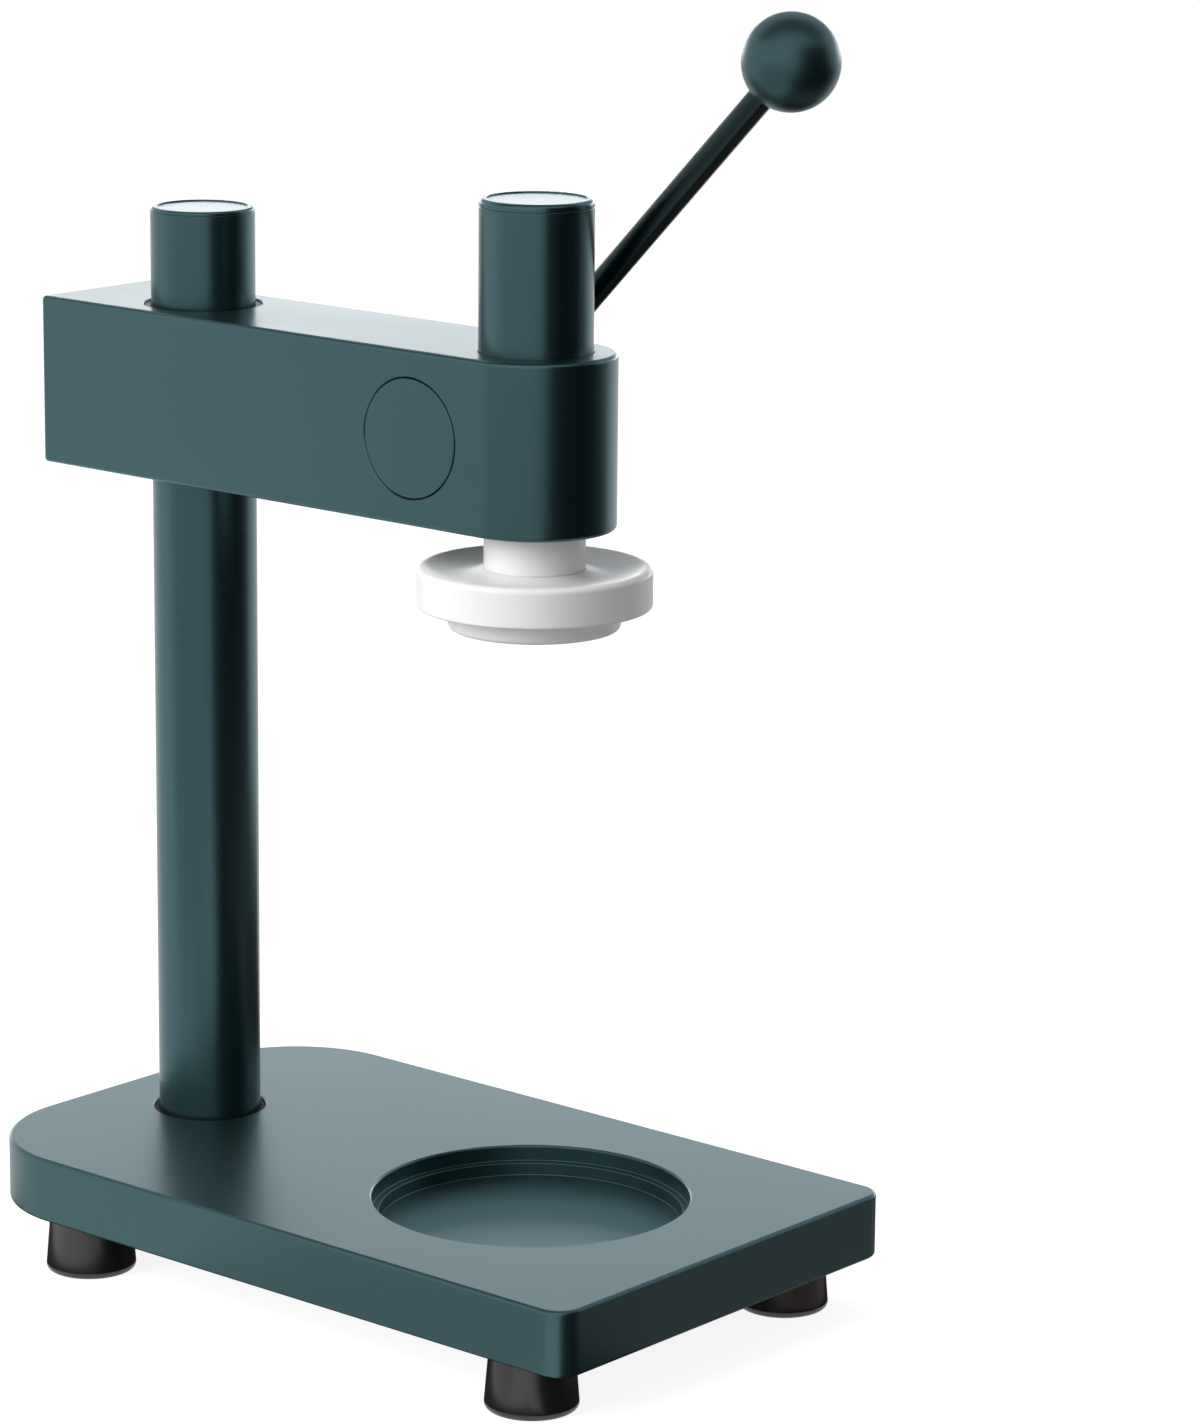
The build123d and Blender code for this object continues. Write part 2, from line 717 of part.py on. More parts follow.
def make_lever_rod():
    ball_hole_end = ball_reach + ball_hole_past_centre - face_gap
    rod = rod_bar(rod_radius, -rod_tail, ball_hole_end)
    return chamfer(rod.edges().filter_by(GeomType.CIRCLE), rod_end_edge)


def make_rod_set_screw():
    low = rod_offset + rod_radius
    high = sqrt(hub_radius**2 - rod_screw_radius**2) - hub_edge / 2
    screw = rod_screw_bar(rod_screw_radius, low, high)
    socket = lever_frame(0, high, rod_y_place, (-rod_side[0], -rod_side[1]))
    return screw - socket * hex_hole(rod_screw_socket, (high - low) * socket_share)


def hub_key_block(room):
    """The hub's key, or the keyway round it when it is given room. It lies away from the rod."""
    middle = (hub_near + hub_far) / 2
    place = lever_frame(0, -shaft_nose_radius, middle, rod_side)
    width = hub_key_width + 2 * room
    return place * Box(width, hub_key_length + 2 * room, hub_key_height + 2 * room)


def make_hub_key():
    return hub_key_block(0.0)


def make_hub_washer():
    washer = bar_y(hub_washer_radius, hub_far, hub_far + hub_washer_thickness, pinion_x, pinion_z)
    hole = hub_screw_radius + fixed_fit
    return washer - bar_y(hole, hub_far, hub_far + hub_washer_thickness, pinion_x, pinion_z)


def make_hub_screw():
    seat = hub_far + hub_washer_thickness
    tip = hub_far - face_gap - hub_screw_reach + tap_room
    screw = bar_y(hub_screw_head_radius, seat, seat + hub_screw_head, pinion_x, pinion_z)
    screw = fillet(screw.faces().sort_by(Axis.Y)[-1].edges(), hub_screw_head / 2)
    screw += bar_y(hub_screw_radius, tip, seat, pinion_x, pinion_z)
    socket = Pos(pinion_x, seat + hub_screw_head, pinion_z) * Rot(90, 0, 0)
    return screw - socket * hex_hole(hub_screw_socket, hub_screw_head * socket_share)


def make_ball_knob():
    centre = lever_point(ball_reach, rod_offset, rod_y_place)
    flat_back = sqrt(ball_radius**2 - ball_flat_radius**2)
    ball = Pos(*centre) * Sphere(ball_radius)
    ball -= rod_bar(ball_radius, ball_reach - 2 * ball_radius, ball_reach - flat_back)
    hole_end = ball_reach + ball_hole_past_centre
    return ball - rod_bar(rod_radius + fixed_fit, ball_reach - ball_radius, hole_end)


# Ram and press disc
def make_ram():
    """White bar with a slot for the rack, a bore for the spring and a spigot for the disc."""
    ram = bar_z(ram_radius, ram_low, ram_high)
    ram = chamfer(ram.faces().sort_by(Axis.Z)[-1].edges(), ram_edge)
    ram += bar_z(ram_spigot_radius, ram_low - ram_spigot_length, ram_low)
    half = rack_width / 2 + fixed_fit
    ram -= block(
        (-2 * ram_radius, -half, rack_low - fixed_fit),
        (rack_back_x + fixed_fit, half, rack_high + fixed_fit),
    )
    for z in rack_screw_heights:
        ram -= bar_x(rack_screw_radius + fixed_fit, rack_back_x, rack_land_x + rack_screw_length, 0, z)
    bore_low = spring_pin_z - spring_pin_radius - spring_coil_radius
    ram -= bar_z(spring_bore_radius, bore_low, ram_high, spring_to_ram)
    ram -= bar_y(spring_pin_radius + fixed_fit, -ram_radius, ram_radius, spring_to_ram, spring_pin_z)
    tap_high = ram_low - ram_spigot_length + disc_screw_reach
    return ram - bar_z(disc_screw_radius + fixed_fit, ram_low - ram_spigot_length, tap_high)


def spring_pin_half_length():
    return sqrt(ram_radius**2 - spring_to_ram**2) - spring_pin_end_room


def make_spring_pin():
    half = spring_pin_half_length()
    return bar_y(spring_pin_radius, -half, half, spring_to_ram, spring_pin_z)


def make_press_disc():
    """Turned white disc: flange with a hollow ring in its top, and a lower boss that presses."""
    outer = disc_radius
    floor = disc_high - disc_dish_depth
    profile = Polyline(
        (0, boss_low), (disc_boss_radius, boss_low), (disc_boss_radius, disc_low),
        (outer, disc_low), (outer, disc_rim_high), (0, disc_rim_high), close=True,
    )
    disc = revolve(Rot(90, 0, 0) * make_face(profile), Axis.Z)
    top = disc.edges().filter_by(GeomType.CIRCLE).group_by(Axis.Z)[-1]
    disc = fillet(top, disc_top_edge)
    flange_low = disc.edges().filter_by(GeomType.CIRCLE).filter_by(
        lambda e: abs(e.radius - outer) < 1e-6 and abs(e.center().Z - disc_low) < 1e-6
    )
    disc = fillet(flange_low, disc_low_edge)
    boss_edges = disc.edges().filter_by(GeomType.CIRCLE).group_by(Axis.Z)[0]
    disc = chamfer(boss_edges, disc_boss_edge)
    disc -= dish_ring(ram_radius, outer - disc_top_edge - disc_rim_width, floor)
    disc -= bar_z(ram_radius, disc_high, disc_rim_high)
    disc -= bar_z(ram_spigot_radius + fixed_fit, disc_high - ram_spigot_length - fixed_fit, disc_high)
    disc -= bar_z(disc_screw_radius + fixed_fit, boss_low, disc_high)
    return disc - bar_z(disc_counterbore_radius, boss_low, boss_low + disc_counterbore_depth)


def dish_ring(inner, outer, floor):
    """Ring-shaped hollow with a curved floor, from the ram's seat out to the rim."""
    middle = (inner + outer) / 2
    bow = ThreePointArc((inner, 0, disc_high), (middle, 0, floor), (outer, 0, disc_rim_high))
    lid = Polyline((outer, 0, disc_rim_high), (inner, 0, disc_rim_high), (inner, 0, disc_high))
    return revolve(make_face(bow + lid), Axis.Z)


def make_disc_washer():
    low = boss_low + disc_counterbore_depth - disc_washer_thickness
    return make_washer(disc_washer_radius, disc_screw_radius + fixed_fit, low, disc_washer_thickness)


def make_disc_screw():
    high = boss_low + disc_counterbore_depth - disc_washer_thickness
    low = high - disc_screw_head
    tip = ram_low - ram_spigot_length + disc_screw_reach - tap_room
    screw = bar_z(disc_screw_head_radius, low, high) + bar_z(disc_screw_radius, high, tip)
    return screw - Pos(0, 0, low) * hex_hole(disc_screw_socket, disc_screw_head * socket_share)


def make_return_spring():
    """Open coil with a half-round hook at each end."""
    coil_path = Pos(spring_to_ram, 0, spring_low) * Helix(
        pitch=spring_pitch, height=spring_turns * spring_pitch, radius=spring_coil_radius
    )
    section = Plane(origin=coil_path @ 0, z_dir=coil_path % 0) * Circle(spring_wire_radius)
    spring = sweep(section, path=coil_path, is_frenet=True)
    for height, way in ((spring_high, 1), (spring_low, -1)):
        near = (spring_to_ram + spring_coil_radius, 0, height)
        far = (spring_to_ram - spring_coil_radius, 0, height)
        crown = (spring_to_ram, 0, height + way * spring_coil_radius)
        hook_path = ThreePointArc(near, crown, far)
        wire = Plane(origin=hook_path @ 0, z_dir=hook_path % 0) * Circle(spring_wire_radius)
        spring += sweep(wire, path=hook_path)
        spring += Pos(*near) * Sphere(spring_joint_radius)
    return spring


def make_all():
    """Every node by its name."""
    nodes = {
        "base_plate": make_base_plate(),
        "post": make_post(),
        "post_seat_ring": make_post_seat_ring(),
        "post_cap": make_post_cap(),
        "post_bolt": make_post_bolt(),
        "post_washer": make_post_washer(),
        "arm_body": make_arm_body(),
        "post_bush_lower": make_post_bush(arm_low + bush_sink),
        "post_bush_upper": make_post_bush(arm_high - bush_sink - post_bush_length),
        "ram_tube": make_ram_tube(),
        "ram_tube_cap": make_ram_tube_cap(),
        "ram_bush_lower": make_ram_bush(arm_low + bush_sink, ram_bush_low_length),
        "ram_bush_upper": make_ram_bush(tube_low - ram_bush_high_length, ram_bush_high_length),
        "pinion_cover": make_pinion_cover(),
        "shaft_bush_near": make_shaft_bush_near(),
        "shaft_bush_far": make_shaft_bush_far(),
        "stop_pin": make_stop_pin(),
        "spring_hanger": make_spring_hanger(),
        "return_spring": make_return_spring(),
        "pinion_shaft": make_pinion_shaft(),
        "pinion": make_pinion(),
        "pinion_key": make_pinion_key(),
        "shaft_circlip": make_shaft_circlip(),
        "lever_hub": make_lever_hub(),
        "hub_key": make_hub_key(),
        "hub_washer": make_hub_washer(),
        "hub_screw": make_hub_screw(),
        "lever_rod": make_lever_rod(),
        "rod_set_screw": make_rod_set_screw(),
        "ball_knob": make_ball_knob(),
        "ram": make_ram(),
        "rack": make_rack(),
        "spring_pin": make_spring_pin(),
        "press_disc": make_press_disc(),
        "press_disc_washer": make_disc_washer(),
        "press_disc_screw": make_disc_screw(),
    }
    for name, (x, y) in foot_places.items():
        nodes[name] = make_foot(x, y)
    places = foot_places.values()
    nodes["foot_screws"] = Compound(children=[make_foot_screw(x, y) for x, y in places])
    nodes["foot_washers"] = Compound(children=[make_foot_washer(x, y) for x, y in places])
    nodes["clamp_screws"] = Compound(children=[make_clamp_screw(z) for z in clamp_heights])
    nodes["clamp_pads"] = Compound(children=[make_clamp_pad(z) for z in clamp_heights])
    nodes["rack_screws"] = Compound(children=[make_rack_screw(z) for z in rack_screw_heights])
    return nodes


os.makedirs("parts", exist_ok=True)
for node_name, solid in make_all().items():
    export_step(solid, "parts/" + node_name + ".step")
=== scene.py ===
# %% [markdown]
# # A small bench press with a hand lever
# The object is a flat base on four rubber feet, a round column, a long arm that can be clamped at a height,
# and a white ram that a lever pushes down through a rack and pinion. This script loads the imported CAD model
# and dresses it. Every shape stands in the CAD's own place. Shapes are written in millimetres, while the
# stage, the meshes and the finishes are in metres.

# %% Load the fixed frame
from math import acos, cos, degrees, radians, sin

import bmesh
import bpy
import numpy as np
from mathutils import Matrix, Vector


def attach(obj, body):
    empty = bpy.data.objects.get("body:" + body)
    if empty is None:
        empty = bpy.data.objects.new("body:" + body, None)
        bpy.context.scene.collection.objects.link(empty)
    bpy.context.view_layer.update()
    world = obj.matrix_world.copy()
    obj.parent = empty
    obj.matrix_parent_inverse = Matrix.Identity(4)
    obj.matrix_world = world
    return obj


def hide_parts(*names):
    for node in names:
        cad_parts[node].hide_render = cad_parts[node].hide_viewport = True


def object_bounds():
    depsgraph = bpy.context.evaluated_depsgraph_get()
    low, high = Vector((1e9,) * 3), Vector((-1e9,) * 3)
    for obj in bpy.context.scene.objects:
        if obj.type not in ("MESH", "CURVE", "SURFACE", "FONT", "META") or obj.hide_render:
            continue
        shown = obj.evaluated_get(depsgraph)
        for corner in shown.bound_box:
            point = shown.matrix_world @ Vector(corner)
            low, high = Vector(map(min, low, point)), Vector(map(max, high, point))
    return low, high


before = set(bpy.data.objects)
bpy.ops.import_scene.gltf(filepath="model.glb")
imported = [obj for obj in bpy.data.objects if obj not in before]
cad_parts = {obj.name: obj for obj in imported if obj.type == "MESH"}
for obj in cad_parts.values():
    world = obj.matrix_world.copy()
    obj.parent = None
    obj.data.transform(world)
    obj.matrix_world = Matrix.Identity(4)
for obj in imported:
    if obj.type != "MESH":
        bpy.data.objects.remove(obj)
cad_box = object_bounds()
MM = 0.001

# %% [markdown]
# ## The viewpoint
# A camera has a place and three directions. They can be set by hand, by aiming at a target, or written down
# as azimuth, elevation and roll. The last way is used, because each number then says one thing about the
# picture. The long lens keeps the sides of the column nearly parallel.

# %% Camera
def added(name, data):
    """A new object that holds the data, linked to the scene."""
    made = bpy.data.objects.new(name, data)
    bpy.context.scene.collection.objects.link(made)
    return made


azimuth, elevation, roll = radians(40.37), radians(13.15), radians(0.53)
camera_place = (0.97342, -1.11482, 0.5036)
lens_length, sensor_width = 129.98, 36.0
back = np.array([sin(azimuth) * cos(elevation), -cos(azimuth) * cos(elevation), sin(elevation)])
level_right = np.array([cos(azimuth), sin(azimuth), 0.0])
level_up = np.cross(back, level_right)
right = level_right * cos(roll) + level_up * sin(roll)
up = level_up * cos(roll) - level_right * sin(roll)
camera_data = bpy.data.cameras.new("camera")
camera_data.lens = lens_length
camera_data.sensor_width = sensor_width
camera = added("camera", camera_data)
turn = Matrix((right, up, back)).transposed().to_4x4()
camera.matrix_world = Matrix.Translation(camera_place) @ turn
bpy.context.scene.camera = camera
bpy.context.scene.view_settings.view_transform = "Standard"
print("camera azimuth", round(degrees(azimuth), 2), "elevation", round(degrees(elevation), 2))

# %% [markdown]
# ## Helpers for node trees
# Shader nodes are made one at a time and wired together. They could be wired by hand in the Shader Editor.
# A short helper that sets a node's values, and makes a link where a value is another node's socket, keeps
# each material readable as a list of what it does.

# %% Node helpers
FLOAT, VECTOR = "NodeSocketFloat", "NodeSocketVector"


def put(tree, kind, inputs=None, **settings):
    """Adds a node. Settings are its properties; an input that is a socket is linked, any other is set."""
    node = tree.nodes.new(kind)
    for key, value in settings.items():
        setattr(node, key, value)
    for key, value in (inputs or {}).items():
        if isinstance(value, bpy.types.NodeSocket):
            tree.links.new(value, node.inputs[key])
        else:
            node.inputs[key].default_value = value
    return node


def bare_tree(owner):
    """The emptied node tree of a world or a material."""
    owner.use_nodes = True
    owner.node_tree.nodes.clear()
    return owner.node_tree


def calculate(tree, operation, first, second=0.0, clamp=False):
    """One Math node: its result socket."""
    inputs = {0: first, 1: second}
    return put(tree, "ShaderNodeMath", inputs, operation=operation, use_clamp=clamp).outputs[0]


def new_group(name, inputs, outputs):
    """A shader node group with named float or vector sockets, and its two end nodes."""
    tree = bpy.data.node_groups.new(name, "ShaderNodeTree")
    for socket, kind, value in inputs:
        made = tree.interface.new_socket(socket, in_out="INPUT", socket_type=kind)
        if value is not None:
            made.default_value = value
    for socket, kind in outputs:
        tree.interface.new_socket(socket, in_out="OUTPUT", socket_type=kind)
    return tree, tree.nodes.new("NodeGroupInput").outputs, tree.nodes.new("NodeGroupOutput").inputs


print("node helpers ready")

# %% [markdown]
# ## Studio
# The object stands on an even white ground under a large soft light at its left. A floor that looks white to
# the camera and in reflections can be lit until it clips, or it can give off that white itself to those rays
# alone. The second way keeps the lamps at a plain level, so that the paint keeps its own colour. About two
# thirds of the floor glows. The rest is lit paper, so that a faint shadow stays under the object.

# %% World
ambient_colour, ambient_strength = (0.96, 0.96, 0.97, 1.0), 0.33
white = (1.0, 1.0, 1.0, 1.0)


def seen_directly(tree):
    """1 for rays from the camera, a mirror or glass; 0 for the rays that light a surface."""
    path = put(tree, "ShaderNodeLightPath").outputs
    seen = calculate(tree, "MAXIMUM", path["Is Camera Ray"], path["Is Glossy Ray"])
    return calculate(tree, "MAXIMUM", seen, path["Is Transmission Ray"])


def mixed_shader(tree, share, first, second):
    """The output of a shader that goes from the first node's to the second node's by a share."""
    return put(tree, "ShaderNodeMixShader", {0: share, 1: first.outputs[0], 2: second.outputs[0]}).outputs[0]


world = bpy.data.worlds.new("white_room")
bpy.context.scene.world = world
tree = bare_tree(world)
ambient = put(tree, "ShaderNodeBackground", {"Color": ambient_colour, "Strength": ambient_strength})
backdrop = put(tree, "ShaderNodeBackground", {"Color": white, "Strength": 1.0})
put(tree, "ShaderNodeOutputWorld", {"Surface": mixed_shader(tree, seen_directly(tree), ambient, backdrop)})
print("world", world.name, "lights surfaces with", ambient_strength)

# %% Floor
floor_level, floor_reach = cad_box[0].z, 9.0
paper_seen, paper_unseen = (0.95, 0.95, 0.95, 1.0), (0.5, 0.5, 0.5, 1.0)
glow_strength, glow_share = 1.37, 0.65


def square_plan(reach):
    """The corners of a square round the origin, counterclockwise."""
    return [(-reach, -reach), (reach, -reach), (reach, reach), (-reach, reach)]


floor_mesh = bpy.data.meshes.new("floor")
floor_corners = np.c_[np.array(square_plan(floor_reach)), np.full(4, floor_level)]
floor_mesh.from_pydata(floor_corners, [], [[0, 1, 2, 3]])
floor = added("floor", floor_mesh)
floor_paper = bpy.data.materials.new("floor_paper")
tree = bare_tree(floor_paper)
by_camera = put(tree, "ShaderNodeLightPath").outputs["Is Camera Ray"]
tone = put(tree, "ShaderNodeMix", {0: by_camera, 6: paper_unseen, 7: paper_seen}, data_type="RGBA").outputs[2]
paper = put(tree, "ShaderNodeBsdfDiffuse", {"Color": tone})
glow = put(tree, "ShaderNodeEmission", {"Color": white, "Strength": glow_strength})
share = calculate(tree, "MULTIPLY", seen_directly(tree), glow_share)
put(tree, "ShaderNodeOutputMaterial", {"Surface": mixed_shader(tree, share, paper, glow)})
floor_mesh.materials.append(floor_paper)
print("floor at", round(floor_level, 4), "m")

# %% [markdown]
# ## Lamps
# A broad lamp at the left gives the white parts their soft fall from light to grey, and a weak one overhead
# fills the tops. Smaller lamps would draw hard shadows. Neither lamp shows in reflections, because the cards
# of the next step give the paint its lights and darks, and the two would get in each other's way.

# %% Two soft lamps
def soft_lamp(name, place, target, width, height, radiance):
    """A rectangular lamp aimed at a target. Its power is its brightness times four times its area."""
    data = bpy.data.lights.new(name, "AREA")
    data.shape = "RECTANGLE"
    data.size, data.size_y = width, height
    data.energy = radiance * 4 * width * height
    lamp = added(name, data)
    lamp.location = place
    lamp.rotation_euler = (Vector(target) - Vector(place)).to_track_quat("-Z", "Y").to_euler()
    lamp.visible_camera = False
    lamp.visible_glossy = False


lit_point = (0.0, 0.0, 0.16)
soft_lamp("key_left", (-0.6, -1.8, 1.15), lit_point, 1.5, 1.5, radiance=5.45)
soft_lamp("overhead", (-0.1, 0.1, 1.7), lit_point, 1.2, 1.2, radiance=1.2)
print("lamps", [lamp.name for lamp in bpy.data.lights])

# %% [markdown]
# ## Cards for the reflections
# Glossy paint shows the room more than it shows its own colour. A photographer stands dark and bright cards
# round such an object, outside the picture, and its faces then read light or dark as wanted. A lamp could do
# it too, but would also light the white parts. These cards are seen by reflections alone. The dark ones at
# the right give nose, column and tube their dark bands, the grey ones in front set the tone of the near
# side, and the far wall makes level faces pale.

# %% Cards
def flat_card(name, corners, brightness, tint=(1.0, 1.0, 1.0)):
    """A plain card that only reflections see, given by its corners in metres, its brightness and its tint."""
    mesh = bpy.data.meshes.new(name)
    mesh.from_pydata(np.array(corners, float), [], [list(range(len(corners)))])
    card = added(name, mesh)
    material = bpy.data.materials.new(name)
    tree = bare_tree(material)
    shine = put(tree, "ShaderNodeEmission", {"Color": tint + (1.0,), "Strength": brightness})
    put(tree, "ShaderNodeOutputMaterial", {"Surface": shine.outputs[0]})
    mesh.materials.append(material)
    card.visible_camera = False
    card.visible_diffuse = False
    card.visible_shadow = False
    return card


def level(height, *plan):
    """The corners of a card that lies flat at one height."""
    return [(x, y, height) for x, y in plan]


def upright(start, end, low, high):
    """The corners of a card that stands between two points in plan."""
    return [(*start, low), (*end, low), (*end, high), (*start, high)]


on_floor = floor_level + 0.002
ceiling_height, side_top = 2.6, 2.2
far_left, far_right, bright_top, far_top = (-8.8, 2.2), (0.6, 8.8), 1.42, 6.0
side_front, side_rear = (2.2, -1.35), (2.4, 2.6)
cards = [
    flat_card("dark_card_low", level(
        on_floor, (0.3, -0.3), (0.5, -0.46), side_front, (2.9, 0.6), side_rear, (0.75, 2.2), (0.3, 0.9),
    ), 0.012),
    flat_card("dark_card_near", level(
        on_floor, (0.067, -0.066), (0.3, -0.3), (0.3, -0.02), (0.067, -0.02),
    ), 0.03),
    flat_card("grey_card_near", level(
        on_floor, (0.067, -0.02), (0.3, -0.02), (0.3, 0.9), (0.067, 0.25),
    ), 0.3, (1.0, 0.8, 0.78)),
    flat_card("grey_card_side", level(
        on_floor, (-0.1, -0.24), (0.05, -0.27), (0.05, -0.085), (-0.1, -0.085),
    ), 0.72),
    flat_card("dark_card_high", upright(side_front, side_rear, on_floor, side_top), 0.01),
    flat_card("grey_card_low", level(
        on_floor, (-0.24, -0.26), (-1.78, -1.9), (0.45, -3.1), (2.2, -1.36), (0.3, -0.33),
    ), 0.6),
    flat_card("bright_card_far", upright(far_left, far_right, on_floor, bright_top), 5.0, (1.0, 0.95, 0.95)),
    flat_card("grey_card_far", upright(far_left, far_right, bright_top, far_top), 0.66, (0.7, 1.0, 1.08)),
    flat_card("dark_ceiling", level(
        ceiling_height, (-1.9, -2.4), (2.68, 1.49), (1.35, 3.04), (-3.22, -0.85),
    ), 0.16),
    flat_card("dark_card_under", level(
        on_floor, (-0.2, -0.08), (0.067, -0.08), (0.067, 0.25), (0.16, 0.5), (-0.2, 0.5),
    ), 0.03),
]
print("cards", [card.name for card in cards])

# %% [markdown]
# ## Turned shapes
# Most pieces of this press are round: column, caps, tube, ram, disc, feet and ball. Blender could add
# cylinders and bevel them, or spin a curve. Here each is one formula, a profile carried round an axis, so
# every edge has its real small rounding and nothing is faceted.

# %% Profiles
def softened(corners, spans=6):
    """A line through (radius, height, rounding) corners, each rounded by an arc.
    Arc point k is C + (sin((1-s)f) a + sin(s f) b) / sin f, where a and b lead from the arc's centre C
    to the two points at which it leaves the straight runs, f is the angle between them and s = k / spans."""
    corners = [np.array(c, float) for c in corners]
    line = []
    for number, corner in enumerate(corners):
        rounding = corner[2] if len(corner) > 2 else 0.0
        if rounding <= 0 or number in (0, len(corners) - 1):
            line.append(corner[None, :2])
            continue
        here = corner[:2]
        to_last = corners[number - 1][:2] - here
        to_next = corners[number + 1][:2] - here
        to_last /= np.linalg.norm(to_last)
        to_next /= np.linalg.norm(to_next)
        opening = acos(np.clip(to_last @ to_next, -1, 1))
        run = rounding / np.tan(opening / 2)
        halfway = to_last + to_next
        centre = here + halfway / np.linalg.norm(halfway) * rounding / sin(opening / 2)
        a, b = here + to_last * run - centre, here + to_next * run - centre
        angle = np.pi - opening
        s = np.linspace(0, 1, spans + 1)[:, None]
        line.append(centre + (np.sin((1 - s) * angle) * a + np.sin(s * angle) * b) / sin(angle))
    return np.vstack(line)


def grid_faces(rows, columns):
    """Corner numbers of the quads between neighbouring rows of a grid whose last column joins the first."""
    row = np.arange(rows - 1)[:, None] * columns
    here = np.arange(columns)[None, :]
    after = (here + 1) % columns
    quads = np.stack([row + here, row + after, row + columns + after, row + columns + here], axis=-1)
    return quads.reshape(-1, 4)


def turned_points(profile, origin, way, steps):
    """P(i, k) = origin + r_i (cos u_k s1 + sin u_k s2) + h_i way, with u_k = 2 pi k / steps.
    The directions s1 and s2 are square to each other and to way."""
    way = np.array(way, float) / np.linalg.norm(way)
    helper = np.array([1.0, 0, 0]) if abs(way[0]) < 0.9 else np.array([0, 1.0, 0])
    side_1 = np.cross(way, helper)
    side_1 /= np.linalg.norm(side_1)
    side_2 = np.cross(way, side_1)
    u = np.arange(steps) * 2 * np.pi / steps
    ring = np.cos(u)[:, None] * side_1 + np.sin(u)[:, None] * side_2
    points = np.array(origin, float) + profile[:, 0, None, None] * ring + profile[:, 1, None, None] * way
    return points.reshape(-1, 3)


print("a rounded corner has", len(softened([(1, 0), (1, 1, 0.2), (0, 1)])) - 2, "points")

# %% [markdown]
# ## From points to a piece
# A mesh needs its doubled points merged and its faces turned outwards, or its shading and its holes go wrong.
# Holes could be left in the formula, but a Boolean takes any hole out of any shape. Its result is applied at
# once, so that the piece is a plain mesh. Smooth shading with area-weighted normals then makes broad faces
# look flat and their small roundings look round.

# %% Piece helpers
MERGE_DISTANCE, SLIVER_LENGTH = 1e-7, 1e-8
ALONG_X, ALONG_Y, ALONG_Z = (1, 0, 0), (0, 1, 0), (0, 0, 1)


def plain_object(name, points, faces):
    """A mesh object from millimetre points, with doubles merged and its volume made positive."""
    mesh = bpy.data.meshes.new(name)
    mesh.from_pydata(points * MM, [], faces)
    work = bmesh.new()
    work.from_mesh(mesh)
    bmesh.ops.remove_doubles(work, verts=work.verts, dist=MERGE_DISTANCE)
    bmesh.ops.dissolve_degenerate(work, edges=work.edges, dist=SLIVER_LENGTH)
    if work.calc_volume(signed=True) < 0:
        bmesh.ops.reverse_faces(work, faces=work.faces)
    work.to_mesh(mesh)
    work.free()
    return added(name, mesh)


def turned(name, profile, origin=(0, 0, 0), way=ALONG_Z, steps=160):
    """A solid of revolution; its profile is a closed line, or starts and ends on the axis."""
    profile = np.array(profile, float)
    points = turned_points(profile, origin, way, steps)
    return plain_object(name, points, grid_faces(len(profile), steps).tolist())


def drill(name, radius, start, end, origin=(0, 0, 0), way=ALONG_Z, steps=48):
    """A round cutter between two distances from its origin along its way."""
    return turned(name, [(0, start), (radius, start), (radius, end), (0, end)], origin, way, steps)


def cut(piece, cutters):
    """Takes the cutters out of the piece with exact Booleans, applies them and removes the cutters."""
    for cutter in cutters:
        step = piece.modifiers.new("cut", "BOOLEAN")
        step.operation, step.solver, step.object = "DIFFERENCE", "EXACT", cutter
    shaped = piece.evaluated_get(bpy.context.evaluated_depsgraph_get())
    mesh = bpy.data.meshes.new_from_object(shaped)
    piece.modifiers.clear()
    piece.data = mesh
    for cutter in cutters:
        bpy.data.objects.remove(cutter)
    return piece


def finished(piece, body, slot, *nodes, sharp=34):
    """Smooth shading with sharp edges kept, area-weighted normals, and the piece's place in the frame."""
    piece.data.shade_smooth()
    piece.data.set_sharp_from_angle(angle=radians(sharp))
    weighted = piece.modifiers.new("weighted", "WEIGHTED_NORMAL")
    weighted.keep_sharp = True
    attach(piece, body)
    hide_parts(*nodes)
    print(piece.name, "vertices", len(piece.data.vertices), "stands for", ", ".join(nodes))
    return piece


print("points nearer than", MERGE_DISTANCE, "m are merged")

# %% [markdown]
# ## Plates with rounded outlines
# The base and the arm are slabs whose outline is straight runs and arcs, and whose upper and lower edges are
# broken by a small round. A Bevel modifier could round them. A formula is exact: the outline is shifted
# inwards along its own normal by what the edge's profile asks at each height.

# %% Slab and block helpers
def arc_points(centre, radius, start, end, steps):
    """Points and outward normals of an arc in plan: C + R (cos t, sin t) with normal (cos t, sin t)."""
    t = np.radians(np.linspace(start, end, steps))
    normal = np.c_[np.cos(t), np.sin(t)]
    return np.array(centre) + radius * normal, normal


def slab(name, arcs, low, high, edge, spans=6):
    """P(i, k) = outline_k - inset_i normal_k at height z_i.
    The pairs (inset, z) run up a side whose two ends are rounded."""
    outline = np.vstack([a[0] for a in arcs])
    normal = np.vstack([a[1] for a in arcs])
    t = np.radians(np.linspace(0, 90, spans + 1))
    inset = np.r_[edge * (1 - np.sin(t)), edge * (1 - np.cos(t))]
    height = np.r_[low + edge * (1 - np.cos(t)), high - edge * (1 - np.sin(t))]
    flat = outline[None] - inset[:, None, None] * normal[None]
    rise = np.broadcast_to(height[:, None, None], flat.shape[:2] + (1,))
    points = np.concatenate([flat, rise], axis=2).reshape(-1, 3)
    count = len(outline)
    faces = grid_faces(len(inset), count).tolist()
    faces.append(list(range(count))[::-1])
    faces.append(list(range(len(points) - count, len(points))))
    return plain_object(name, points, faces)


BLOCK_FACES = grid_faces(2, 4).tolist() + [[3, 2, 1, 0], [4, 5, 6, 7]]


